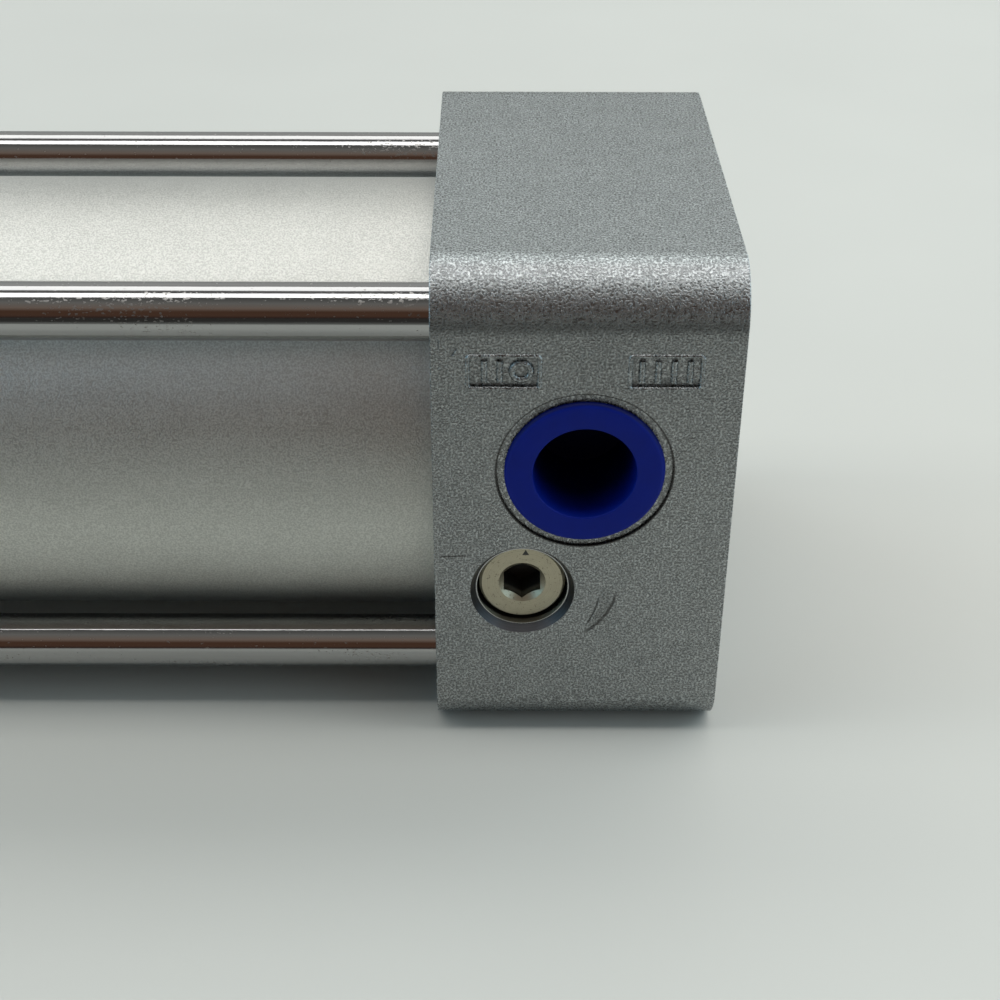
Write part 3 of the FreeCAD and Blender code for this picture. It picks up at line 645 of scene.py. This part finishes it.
# %% Chrome
CHROME_COLOUR = (0.372, 0.372, 0.366)
SPECK_COLOUR = (0.30, 0.29, 0.275)
STREAK_SIZE = 0.30
PATCH_SIZE = 3.0
SPECK_SIZE = 0.22


def hard_chrome(name):
    """Polished chrome with streaks and specks."""
    material, place = start_finish(name)
    streaks = noise(stretch(place, (0.03, 1.0, 1.0)), STREAK_SIZE)
    patches = fade(noise(stretch(place, (0.10, 1.0, 1.0)), PATCH_SIZE), 0.50, 0.64)
    specks = fade(noise(stretch(place, (0.5, 1.0, 1.0)), SPECK_SIZE) + 0.13 * patches, 0.68, 0.75)
    tone = 0.92 + 0.12 * streaks
    return end_finish(material, place, {
        "Base Color": blend_colours(specks, shade(CHROME_COLOUR, tone), SPECK_COLOUR),
        "Metallic": 1.0,
        "Roughness": 0.05 + 0.08 * streaks + 0.35 * specks,
        "Normal": relief(streaks, 0.002),
    })


chrome = hard_chrome("hard_chrome")

# %% [markdown]
# Nuts are turned from bar and zinc plated. A lathe leaves rings round each nut's own axis. The four
# axes stand on a square, so the distance from the nearest one is found from the sizes of y and z.

# %% Zinc plate
ZINC_COLOUR = (0.56, 0.56, 0.55)
TURNING_STEP = 0.09
PLATE_CLOUD_SIZE = 1.6


def zinc_plate(name):
    """Turned and zinc plated steel."""
    material, place = start_finish(name)
    x, y, z = axes(place)
    ring = reach(abs(y) - nut_middle.y, abs(z) - nut_middle.z)
    turning = lines(ring + x, TURNING_STEP)
    cloud = noise(place, PLATE_CLOUD_SIZE)
    tone = 0.72 + 0.26 * turning + 0.24 * cloud
    return end_finish(material, place, {
        "Base Color": shade(ZINC_COLOUR, tone),
        "Metallic": 1.0,
        "Roughness": 0.26 + 0.18 * cloud + 0.10 * turning,
        "Normal": relief(turning, 0.010),
    })


zinc = zinc_plate("zinc_plate")

# %% [markdown]
# The dust plugs are soft polyethylene, deep blue and a little waxy. The moulding is smooth, with a
# faint flow mottle, so its roughness varies more than its colour. Painted shade darkens the inside of
# the cup and a band along the upper edge of the rim, and both are masks of a radius and a height.

# %% Blue plastic
BLUE = (0.001, 0.010, 0.180)
FLOW_SIZE = 1.8
SKIN_SIZE = 0.12
PLUG_CUP = 4.7
PLUG_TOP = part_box("rear_port_plug")[1].y / MM
PLUG_RIM = radius_of("rear_port_plug")


def moulded_blue(name):
    """Waxy blue moulded plastic, with painted shade in its cup and along the upper edge of its rim."""
    material, place = start_finish(name)
    x, y, z = axes(place)
    flow = noise(stretch(place, (1.0, 0.4, 1.0)), FLOW_SIZE)
    skin = noise(place, SKIN_SIZE)
    above = z - port_middle.z
    port = reach(from_nearer_end(x) - port_middle.x, above)
    # Painted shade: the cup's inside darkens from its mouth towards its floor.
    painted_cup_shade = fade(port, PLUG_CUP + 0.05, PLUG_CUP - 0.05) * fade(y, PLUG_TOP - 0.5, PLUG_TOP - 5.0)
    # Painted shade: a band along the upper edge of the rim.
    painted_rim_shade = fade(port, PLUG_RIM - 0.32, PLUG_RIM - 0.08) * fade(above, 0.5, 5.0)
    tone = (0.85 + 0.30 * flow) * (1 - 0.8 * painted_cup_shade) * (1 - 0.6 * painted_rim_shade)
    return end_finish(material, place, {
        "Base Color": shade(BLUE, tone),
        "Roughness": 0.34 + 0.16 * flow + 0.08 * skin,
        "Specular IOR Level": 0.12,
        "Normal": relief(skin, 0.004),
    })


blue_plastic = moulded_blue("moulded_blue_plastic")

# %% [markdown]
# Each cushion needle is brass with an olive nickel plate and a faced head. A small dark triangle is
# punched near the rim so that its turns can be counted, and painted shade darkens the deep part of its
# hexagon socket. The triangle's mask is three straight sides, and the shade's is a radius and a depth.

# %% Plated needle
OLIVE_COLOUR = (0.425, 0.388, 0.288)
SOCKET_SHADE_AND_INDEX_COLOUR = (0.02, 0.02, 0.018)
FACING_STEP = 0.10
TARNISH_SIZE = 0.7
PIT_SIZE = 0.22
INDEX_HEIGHT = 0.6
INDEX_HALF_WIDTH = 0.33
INDEX_RIM_GAP = 0.35
INDEX_SHIFT = 0.3
SOCKET_REACH = 2.3
HEAD_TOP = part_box("rear_cushion_needle")[1].y / MM


def plated_needle(name):
    """Olive plated brass with facing rings, an index mark and painted shade deep in its socket."""
    material, place = start_finish(name)
    x, y, z = axes(place)
    across = from_nearer_end(x) - needle_middle.x
    above = z - needle_middle.z
    outwards = reach(across, above)
    facing = lines(outwards, FACING_STEP)
    cloud = noise(place, TARNISH_SIZE)
    apex = radius_of("rear_cushion_needle") - INDEX_RIM_GAP
    drop = apex - above
    index = fade(INDEX_HALF_WIDTH * drop / INDEX_HEIGHT - abs(across + INDEX_SHIFT), -0.03, 0.03)
    index = index * fade(drop, INDEX_HEIGHT + 0.03, INDEX_HEIGHT - 0.03)
    pits = fade(noise(place, PIT_SIZE), 0.62, 0.72)
    # Painted shade: the deep part of the hexagon socket is dark and not metallic.
    painted_socket_shade = fade(outwards, SOCKET_REACH + 0.1, SOCKET_REACH) * fade(y, HEAD_TOP - 0.5, HEAD_TOP - 1.6)
    dark = painted_socket_shade.math("MAXIMUM", painted_socket_shade, index)
    tone = 0.78 + 0.22 * facing + 0.22 * cloud - 0.45 * pits
    return end_finish(material, place, {
        "Base Color": blend_colours(dark, shade(OLIVE_COLOUR, tone), SOCKET_SHADE_AND_INDEX_COLOUR),
        "Metallic": 1.0 - dark,
        "Roughness": 0.34 + 0.14 * cloud,
        "Normal": relief(facing - index - pits, 0.012),
    })


needle_plate = plated_needle("plated_needle")

# %% [markdown]
# The rest is mostly hidden: black rubber seals, a bronze bushing and a green wear band. They still
# get their own finishes, because the seal in the boss shows from the rod's end and a maker may take
# the cylinder apart. One function makes all three, since only colour and texture differ.

# %% Inner finishes


def dull_finish(name, colour, size, depth, metallic, roughness):
    """A plain surface with spots of one size."""
    material, place = start_finish(name)
    spots = noise(place, size, 3.0)
    return end_finish(material, place, {
        "Base Color": shade(colour, 0.75 + 0.5 * spots),
        "Metallic": metallic,
        "Roughness": roughness + 0.2 * (spots - 0.5),
        "Normal": relief(spots, depth),
    })


rubber = dull_finish("seal_rubber", (0.018, 0.018, 0.018), 0.15, 0.01, 0.0, 0.55)
bronze = dull_finish("bushing_bronze", (0.45, 0.28, 0.12), 0.3, 0.01, 1.0, 0.38)
wear_band = dull_finish("wear_band", (0.10, 0.22, 0.18), 0.4, 0.006, 0.0, 0.5)

# %% [markdown]
# Every solid of the frame now gets its finish. A material could be dropped on each piece by hand, but
# the record names a slot for every node, so one table of slots dresses them all. Only the rear cap
# differs, because it alone carries the handling marks.

# %% Dress the solids
FINISHES = {"cast_aluminium": front_cast, "anodised_aluminium": satin_tube, "chromed_steel": chrome,
            "zinc_steel": zinc, "blue_plastic": blue_plastic, "plated_needle": needle_plate,
            "seal_rubber": rubber, "bushing_bronze": bronze, "wear_band": wear_band}
for part in frame["record"]["subparts"]:
    coat = rear_cast if part["node"] == "rear_cap" else FINISHES[part["material_slot"]]
    solid = frame["nodes"][part["node"]].data
    solid.materials.clear()
    solid.materials.append(coat)

# %% [markdown]
# Rods, nuts and plugs are turned or moulded round an axis. Blender could spin an outline with its
# Screw modifier, but a hexagon socket or a wrench flat changes with the angle. So each ring of a
# shell has its own place and radius, which may be a number or a rule for each angle.

# %% Turned shells
SEGMENTS = 96
SHARP_ANGLE = math.radians(30)
WELD = 0.002 * MM


def turned(profile, closed=False):
    """A shell round X from (place, radius) rings in millimetres. Either may depend on the angle."""
    shell = bmesh.new()
    rings = []
    for place, radius in profile:
        ring = []
        for step in range(SEGMENTS):
            angle = 2 * math.pi * step / SEGMENTS
            along = place(angle) if callable(place) else place
            out = radius(angle) if callable(radius) else radius
            spot = Vector((along, out * math.cos(angle), out * math.sin(angle)))
            ring.append(shell.verts.new(spot * MM))
        rings.append(ring)
    following = rings[1:] + rings[:1] if closed else rings[1:]
    for ring, after in zip(rings, following):
        for step in range(SEGMENTS):
            beside = (step + 1) % SEGMENTS
            shell.faces.new((ring[step], after[step], after[beside], ring[beside]))
    bmesh.ops.remove_doubles(shell, verts=shell.verts, dist=WELD)
    return shell


def sharp_edges(shell):
    """The edges where two faces meet at a clear angle."""
    paired = [edge for edge in shell.edges if len(edge.link_faces) == 2]
    return [edge for edge in paired if edge.calc_face_angle() > SHARP_ANGLE]


def closed_mesh(shell, name, threads=()):
    """Marks a shell's sharp edges, welds threads into it and writes it as a mesh, faces outwards."""
    for edge in sharp_edges(shell):
        edge.smooth = False
    for thread in threads:
        shell.from_mesh(thread)
    bmesh.ops.remove_doubles(shell, verts=shell.verts, dist=WELD)
    bmesh.ops.recalc_face_normals(shell, faces=shell.faces)
    for face in shell.faces:
        face.smooth = True
    open_edges = [edge for edge in shell.edges if len(edge.link_faces) != 2]
    mesh = bpy.data.meshes.new(name)
    shell.to_mesh(mesh)
    shell.free()
    print(f"{name}: {len(mesh.polygons)} faces, {len(open_edges)} open edges")
    return mesh


def new_piece(name, mesh, material, body, replaced=()):
    """A finished piece at the origin that rides on a body."""
    mesh.materials.clear()
    mesh.materials.append(material)
    piece = bpy.data.objects.new(name, mesh)
    scene.collection.objects.link(piece)
    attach(piece, body)
    if replaced:
        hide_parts(*replaced)
    return piece


print("turned shells:", SEGMENTS, "segments")

# %% [markdown]
# Geometry Nodes make what repeats or follows a rule. Each tree below has named inputs for its sizes,
# makes its instances real, sets the finish and ends. Running it on an empty object and keeping the
# evaluated result gives a plain mesh with no modifier left on it.

# %% Geometry trees
NUMBER = "NodeSocketFloat"
COUNT = "NodeSocketInt"
FINISH = "NodeSocketMaterial"


def new_tree(name, inputs):
    """An empty tree, and a wire for each of its named inputs."""
    tree = bpy.data.node_groups.new(name, "GeometryNodeTree")
    for title, kind in inputs.items():
        tree.interface.new_socket(title, in_out="INPUT", socket_type=kind)
    tree.interface.new_socket("Geometry", in_out="OUTPUT", socket_type="NodeSocketGeometry")
    entry = tree.nodes.new("NodeGroupInput")
    return tree, {title: Wire(tree, entry.outputs[title]) for title in inputs}


def end_tree(geometry, finish):
    """Makes instances real, sets the finish and ends the tree."""
    real = geometry.node("GeometryNodeRealizeInstances", {}, {"Geometry": geometry})
    dressed = geometry.node("GeometryNodeSetMaterial", {}, {"Geometry": real, "Material": finish})
    geometry.node("NodeGroupOutput", {}, {"Geometry": dressed})


def grown(name, tree, values):
    """Runs a tree with these inputs and keeps the result as a plain mesh."""
    holder = bpy.data.objects.new(name, bpy.data.meshes.new(name))
    scene.collection.objects.link(holder)
    modifier = holder.modifiers.new(name, "NODES")
    modifier.node_group = tree
    for item in tree.interface.items_tree:
        if item.in_out == "INPUT":
            modifier[item.identifier] = values[item.name]
    mesh = bpy.data.meshes.new_from_object(holder.evaluated_get(bpy.context.evaluated_depsgraph_get()))
    holder.modifiers.remove(modifier)
    bpy.data.objects.remove(holder)
    print(f"{name}: {len(mesh.polygons)} faces from {tree.name}")
    return mesh


def point(x, y, z):
    """A vector from three wires or numbers, at least one of them a wire."""
    wire = next(part for part in (x, y, z) if isinstance(part, Wire))
    return wire.node("ShaderNodeCombineXYZ", {}, {"X": x, "Y": y, "Z": z})


print("geometry trees: ready")

# %% [markdown]
# A screw thread is a ridge that climbs one pitch in each turn. Sweeping a tooth along a helix leaves
# open ends and overlaps. Here a flat grid is rolled into a tube instead, and each point's radius
# follows from how far it is between two ridges. The ridge dies out at both ends, so that the tube's
# rims are true circles and weld to a turned shell.

# %% Screw thread


def screw_thread_tree():
    """A thread round X: an open tube from 0 to its length, with its faces towards the axis."""
    tree, size = new_tree("screw_thread", {
        "Length": NUMBER, "Pitch": NUMBER, "Root": NUMBER, "First Crest": NUMBER, "Last Crest": NUMBER,
        "Rings": COUNT, "Points Round": COUNT, "Finish": FINISH})
    length = size["Length"]
    pitch = size["Pitch"]
    grid = length.node("GeometryNodeMeshGrid", {}, {
        "Size X": length, "Size Y": 1.0,
        "Vertices X": size["Rings"], "Vertices Y": size["Points Round"]}, "Mesh")
    flat = axes(length.node("GeometryNodeInputPosition", {}, {}))
    along = flat[0] + length / 2
    turn = flat[1] + 0.5
    climb = along.math("FRACT", along / pitch - turn)
    tooth = fade(1 - abs(2 * climb - 1), 0.15, 0.85)
    alive = fade(along, 0.0, pitch) * fade(length - along, 0.0, pitch)
    crest = size["First Crest"] + (size["Last Crest"] - size["First Crest"]) * along / length
    radius = size["Root"] + (crest - size["Root"]) * tooth * alive
    angle = turn * (2 * math.pi)
    rolled = point(along, radius * angle.math("COSINE", angle), radius * angle.math("SINE", angle))
    tube = grid.node("GeometryNodeSetPosition", {}, {"Geometry": grid, "Position": rolled})
    seam = tube.node("GeometryNodeMergeByDistance", {}, {"Geometry": tube, "Distance": WELD})
    end_tree(seam, size["Finish"])
    return tree


RINGS_EACH_PITCH = 14
thread_tree = screw_thread_tree()


def thread_mesh(name, finish, length, pitch, root, first_crest, last_crest):
    """A thread of these sizes in millimetres, as a mesh."""
    return grown(name, thread_tree, {
        "Length": length * MM, "Pitch": pitch * MM, "Root": root * MM, "Finish": finish,
        "First Crest": first_crest * MM, "Last Crest": last_crest * MM,
        "Rings": int(length / pitch * RINGS_EACH_PITCH) + 1, "Points Round": SEGMENTS + 1})


print("screw thread:", RINGS_EACH_PITCH, "rings in each pitch")

# %% [markdown]
# The piston rod is ground and chromed bar. One end steps down to a stub for the piston, and the other
# has two wrench flats and an M12 fine thread for a fork or an eye. The solid draws that thread as a
# plain round, so the rod is made again with its real ridges.

# %% Piston rod
THREAD_LENGTH = 24.0
ROD_PITCH = 1.25
ROD_CHAMFER = 1.0
FLAT_LENGTH = 6.5
FLAT_DEPTH = 1.0
THREAD_DEPTH_SHARE = 0.6134
STUB_RADIUS = 6.0
STUB_END_RADIUS = 5.6
STUB_THREAD_LENGTH = 7.0

rod_low, rod_high = (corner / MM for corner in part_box("piston_rod"))
rod_radius = rod_high.z
rod_end = rod_high.x
rod_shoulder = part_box("front_cushion_spear")[1].x / MM
thread_start = rod_end - THREAD_LENGTH
root_radius = STUB_RADIUS - THREAD_DEPTH_SHARE * ROD_PITCH


def flat_radius(angle):
    """The rod's radius where two flats are milled across it."""
    return min(rod_radius, (rod_radius - FLAT_DEPTH) / max(abs(math.cos(angle)), 0.1))


rod_shell = turned([
    (rod_low.x, 0), (rod_low.x, STUB_END_RADIUS - ROD_CHAMFER), (rod_low.x + ROD_CHAMFER, STUB_END_RADIUS),
    (rod_low.x + STUB_THREAD_LENGTH, STUB_END_RADIUS), (rod_low.x + STUB_THREAD_LENGTH, STUB_RADIUS),
    (rod_shoulder, STUB_RADIUS), (rod_shoulder, rod_radius),
    (thread_start - FLAT_LENGTH, rod_radius), (thread_start - FLAT_LENGTH, flat_radius),
    (thread_start - ROD_CHAMFER, flat_radius), (thread_start, rod_radius - ROD_CHAMFER),
    (thread_start, root_radius)])
rod_tip = turned([(rod_end - ROD_CHAMFER, root_radius), (rod_end, STUB_RADIUS - ROD_CHAMFER), (rod_end, 0)])
rod_thread = thread_mesh("rod_thread", chrome, THREAD_LENGTH - ROD_CHAMFER, ROD_PITCH, root_radius,
                         STUB_RADIUS, STUB_RADIUS)
rod_thread.transform(Matrix.Translation((thread_start * MM, 0, 0)))
tip_mesh = closed_mesh(rod_tip, "rod_tip")
rod_mesh = closed_mesh(rod_shell, "threaded_rod", [rod_thread, tip_mesh])
new_piece("threaded_rod", rod_mesh, chrome, "rod", ["piston_rod"])

# %% [markdown]
# Each corner nut is a long round sleeve. It has a hexagon socket at its mouth, then an M6 thread that
# draws on the tie rod from inside and takes a mounting bolt from outside. One nut is turned, and a
# tree sets four on a square at each end, every one stopped at another angle, as hand-tightened nuts
# are.

# %% Corner nuts
NUT_CHAMFER = 0.4
SOCKET_FLATS = 6.0
SOCKET_DEPTH = 4.0
SOCKET_MOUTH = 3.6
NUT_THREAD_END = 10.7
NUT_PITCH = 1.0
NUT_ROOT = 2.95
NUT_CREST = 2.5
NUT_BACK_RADIUS = 2.7

nut_low, nut_high = (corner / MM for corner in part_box("rear_nut_upper_port_side"))
nut_length = nut_high.x - nut_low.x
nut_radius = (nut_high.z - nut_low.z) / 2


def socket_radius(angle):
    """The radius of a hexagon at an angle from the middle of one of its flats."""
    from_flat = (angle + math.pi / 6) % (math.pi / 3) - math.pi / 6
    return SOCKET_FLATS / 2 / math.cos(from_flat)


def socket_lead(angle):
    """Where a 45 degree lead-in meets the hexagon."""
    return SOCKET_MOUTH - socket_radius(angle)


nut_front = turned([
    (NUT_THREAD_END, NUT_ROOT), (NUT_THREAD_END, NUT_BACK_RADIUS), (nut_length, NUT_BACK_RADIUS),
    (nut_length, nut_radius - NUT_CHAMFER), (nut_length - NUT_CHAMFER, nut_radius), (NUT_CHAMFER, nut_radius),
    (0, nut_radius - NUT_CHAMFER), (0, SOCKET_MOUTH), (socket_lead, socket_radius),
    (SOCKET_DEPTH, socket_radius), (SOCKET_DEPTH, NUT_ROOT)])
nut_thread = thread_mesh("nut_thread", zinc, NUT_THREAD_END - SOCKET_DEPTH, NUT_PITCH, NUT_ROOT,
                         NUT_CREST, NUT_CREST)
nut_thread.transform(Matrix.Translation((SOCKET_DEPTH * MM, 0, 0)))
nut_mesh = closed_mesh(nut_front, "corner_nut", [nut_thread])


def nuts_on_a_square_tree():
    """Four copies of one nut on a square across X, each turned by chance."""
    tree, size = new_tree("nuts_on_a_square", {
        "Nut": "NodeSocketObject", "Spacing": NUMBER, "Place": NUMBER, "Facing": NUMBER, "Seed": COUNT,
        "Finish": FINISH})
    spacing = size["Spacing"]
    nut = spacing.node("GeometryNodeObjectInfo", {}, {"Object": size["Nut"]}, "Geometry")
    grid = spacing.node("GeometryNodeMeshGrid", {}, {
        "Size X": spacing, "Size Y": spacing, "Vertices X": 2, "Vertices Y": 2}, "Mesh")
    flat = axes(spacing.node("GeometryNodeInputPosition", {}, {}))
    corners = spacing.node("GeometryNodeSetPosition", {}, {
        "Geometry": grid, "Position": point(size["Place"], flat[0], flat[1])})
    stop = spacing.node("FunctionNodeRandomValue", {"data_type": "FLOAT"}, {
        "Min_001": 0.0, "Max_001": 2 * math.pi, "Seed": size["Seed"]}, "Value_001")
    nuts = spacing.node("GeometryNodeInstanceOnPoints", {}, {
        "Points": corners, "Instance": nut, "Rotation": point(stop, 0.0, size["Facing"])})
    end_tree(nuts, size["Finish"])
    return tree


nut_pattern = bpy.data.objects.new("corner_nut", nut_mesh)
scene.collection.objects.link(nut_pattern)
nuts_tree = nuts_on_a_square_tree()
CORNERS = ("upper_port_side", "upper_far_side", "lower_far_side", "lower_port_side")
for end, facing, seed in (("rear", 0.0, 4), ("front", math.pi, 9)):
    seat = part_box(f"{end}_nut_upper_port_side")
    nuts_mesh = grown(f"{end}_nuts", nuts_tree, {
        "Nut": nut_pattern, "Spacing": 2 * nut_middle.y * MM, "Facing": facing, "Seed": seed,
        "Place": seat[0].x if end == "rear" else seat[1].x, "Finish": zinc})
    new_piece(f"{end}_nuts", nuts_mesh, zinc, "barrel", [f"{end}_nut_{c}" for c in CORNERS])
bpy.data.objects.remove(nut_pattern)

# %% [markdown]
# The dust plug is moulded in one shot: a cup with a flange, every edge softened by the mould, and a
# small pip on its floor where the plastic came in. The solid has plain chamfers. Here a bevel with
# several steps rounds each edge, and the rim then catches a thin line of light.

# %% Dust plugs
PLUG_FLANGE = 0.65
PLUG_BODY_TOP = 6.05
PLUG_BODY_FOOT = 5.8
PLUG_CUP_FOOT = 4.45
PLUG_FLOOR = 1.2
PLUG_ROUND = 0.2
RIM_ROUND = 0.5
RIM_STEPS = 6
GATE_RADIUS = 0.9
GATE_HEIGHT = 0.5


def facing_port_side(centre):
    """Turns a piece made round X to point along Y, and moves its start to a place in metres."""
    return Matrix.Translation(centre) @ Matrix(((0, 0, 1), (1, 0, 0), (0, 1, 0))).to_4x4()


def dust_plug(end):
    """One moulded plug, in its port."""
    low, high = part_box(f"{end}_port_plug")
    length = (high.y - low.y) / MM
    flange = (high.x - low.x) / 2 / MM
    rim = []
    for step in range(RIM_STEPS + 1):
        turn = math.pi / 2 * step / RIM_STEPS
        rim.append((length - RIM_ROUND * (1 - math.sin(turn)), flange - RIM_ROUND * (1 - math.cos(turn))))
    shell = turned([
        (0, 0), (0, PLUG_BODY_FOOT), (length - PLUG_FLANGE, PLUG_BODY_TOP), (length - PLUG_FLANGE, flange),
        *rim, (length, PLUG_CUP), (PLUG_FLOOR, PLUG_CUP_FOOT), (PLUG_FLOOR, GATE_RADIUS),
        (PLUG_FLOOR + GATE_HEIGHT, GATE_RADIUS / 2), (PLUG_FLOOR + GATE_HEIGHT, 0)])
    bmesh.ops.bevel(shell, geom=sharp_edges(shell), offset=PLUG_ROUND * MM, segments=4, profile=0.5,
                    affect="EDGES", clamp_overlap=True)
    middle = (low + high) / 2
    bmesh.ops.transform(shell, matrix=facing_port_side((middle.x, low.y, middle.z)), verts=shell.verts)
    mesh = closed_mesh(shell, f"{end}_dust_plug")
    new_piece(f"{end}_dust_plug", mesh, blue_plastic, f"{end}_plug", [f"{end}_port_plug"])


for end in ("rear", "front"):
    dust_plug(end)

# %% [markdown]
# With a plug drawn out, the port shows its G 1/4 thread. It is cut in the cap, but the cap's solid
# stays as it is, so the ridges are a thin threaded sleeve that lines the bore. Its crests leave room
# for the tapered plug.

# %% Port threads
PORT_PITCH = 1.337
PORT_BORE = 6.14
PORT_SLEEVE_BACK = 6.4
PORT_THREAD_FLOOR = 13.4
PORT_THREAD_TOP = 23.6
PORT_CREST_FLOOR = 5.66
PORT_CREST_TOP = 6.07

for end in ("rear", "front"):
    place = middle_of(f"{end}_port_plug")
    length = PORT_THREAD_TOP - PORT_THREAD_FLOOR
    ridges = thread_mesh(f"{end}_port_ridges", front_cast, length, PORT_PITCH, PORT_BORE,
                         PORT_CREST_FLOOR, PORT_CREST_TOP)
    sleeve = turned([(length, PORT_BORE), (length, PORT_SLEEVE_BACK), (0, PORT_SLEEVE_BACK), (0, PORT_BORE)])
    sleeve_mesh = closed_mesh(sleeve, f"{end}_port_thread", [ridges])
    sleeve_mesh.transform(facing_port_side(Vector((place.x, PORT_THREAD_FLOOR, place.z)) * MM))
    new_piece(f"{end}_port_thread", sleeve_mesh, front_cast, "barrel")

# %% [markdown]
# Each cap has two small cast frames above its port, with plain raised strokes in them: a ring with
# two bars in one and a row of bars in the other. Bump in the material would look flat from the side.
# So a bead follows a rounded rectangle for the rim, and straight beads on a line make the bars, much
# as a pattern maker lays wax thread on a pattern.

# %% Cast marks
MARK_LENGTH = 6.5
MARK_WIDTH = 3.4
MARK_FLOOR = 24.7
MARK_HEIGHT = 15.85
MARK_CORNER = 0.3
RIM_BEAD = 0.22
RIM_LIFT = 0.20
RIM_INSET = 0.08
STROKE_BEAD = 0.30
STROKE_HEIGHT = 2.1
BEAD_SIDES = 10
LOOP_SIDES = 32


def bead(path, radius, capped):
    """A round bead along a path."""
    section = path.node("GeometryNodeCurvePrimitiveCircle", {}, {
        "Resolution": BEAD_SIDES, "Radius": radius}, "Curve")
    return path.node("GeometryNodeCurveToMesh", {}, {
        "Curve": path, "Profile Curve": section, "Fill Caps": capped})


def cast_mark_tree():
    """A rim with bars, and a ring beside them, laid on the port side of both caps."""
    tree, size = new_tree("cast_mark", {
        "Length": NUMBER, "Width": NUMBER, "Rim Lift": NUMBER, "Bars": COUNT, "First Bar": NUMBER,
        "Bar Step": NUMBER, "Stroke": NUMBER, "Rings": COUNT, "Ring Radius": NUMBER, "Ring Place": NUMBER,
        "Rear": "NodeSocketVector", "To Front": "NodeSocketVector", "Finish": FINISH})
    bars = size["Bars"]
    box = bars.node("GeometryNodeCurvePrimitiveQuadrilateral", {}, {
        "Width": size["Length"], "Height": size["Width"]})
    rounded = bars.node("GeometryNodeFilletCurve", {"mode": "POLY"}, {
        "Curve": box, "Count": 4, "Radius": MARK_CORNER * MM, "Limit Radius": True})
    rim = bead(rounded, RIM_BEAD * MM, False)
    lifted = bars.node("GeometryNodeTransform", {}, {
        "Geometry": rim, "Translation": point(0.0, 0.0, size["Rim Lift"])})
    half = size["Stroke"] / 2
    line = bars.node("GeometryNodeCurvePrimitiveLine", {}, {
        "Start": point(0.0, 0.0 - half, 0.0), "End": point(0.0, half, 0.0)})
    row = bars.node("GeometryNodeMeshLine", {}, {
        "Count": bars, "Start Location": point(size["First Bar"], 0.0, 0.0),
        "Offset": point(size["Bar Step"], 0.0, 0.0)})
    strokes = bars.node("GeometryNodeInstanceOnPoints", {}, {
        "Points": row, "Instance": bead(line, STROKE_BEAD * MM, True)})
    loop = bars.node("GeometryNodeCurvePrimitiveCircle", {}, {
        "Resolution": LOOP_SIDES, "Radius": size["Ring Radius"]})
    spots = bars.node("GeometryNodeMeshLine", {}, {
        "Count": size["Rings"], "Start Location": point(size["Ring Place"], 0.0, 0.0)})
    rings = bars.node("GeometryNodeInstanceOnPoints", {}, {
        "Points": spots, "Instance": bead(loop, STROKE_BEAD * MM, False)})
    joined = bars.node("GeometryNodeJoinGeometry", {}, {})
    for part in (lifted, strokes, rings):
        tree.links.new(part.socket, joined.socket.node.inputs[0])
    laid = bars.node("GeometryNodeTransform", {}, {"Geometry": joined, "Rotation": (-math.pi / 2, 0, 0)})
    caps = bars.node("GeometryNodeMeshLine", {}, {
        "Count": 2, "Start Location": size["Rear"], "Offset": size["To Front"]})
    both = bars.node("GeometryNodeInstanceOnPoints", {}, {"Points": caps, "Instance": laid})
    end_tree(both, size["Finish"])
    return tree


MARK_PLACES = {"bore_marks": 21.1, "port_marks": 6.9}
MARK_STROKES = {
    "bore_marks": {"Bars": 2, "First Bar": 0.35 * MM, "Bar Step": 1.35 * MM, "Rings": 1},
    "port_marks": {"Bars": 4, "First Bar": -2.1 * MM, "Bar Step": 1.4 * MM, "Rings": 0},
}
RING_RADIUS = 0.85
RING_PLACE = -1.55

mark_tree = cast_mark_tree()
for name, x in MARK_PLACES.items():
    marks_mesh = grown(name, mark_tree, MARK_STROKES[name] | {
        "Length": (MARK_LENGTH - 2 * RIM_INSET) * MM, "Width": (MARK_WIDTH - 2 * RIM_INSET) * MM,
        "Rim Lift": RIM_LIFT * MM, "Stroke": STROKE_HEIGHT * MM,
        "Ring Radius": RING_RADIUS * MM, "Ring Place": RING_PLACE * MM,
        "Rear": Vector((x, MARK_FLOOR, MARK_HEIGHT)) * MM,
        "To Front": Vector((CYLINDER_LENGTH - 2 * x, 0, 0)) * MM, "Finish": front_cast})
    new_piece(name, marks_mesh, front_cast, "barrel")

# %% Import json
import json
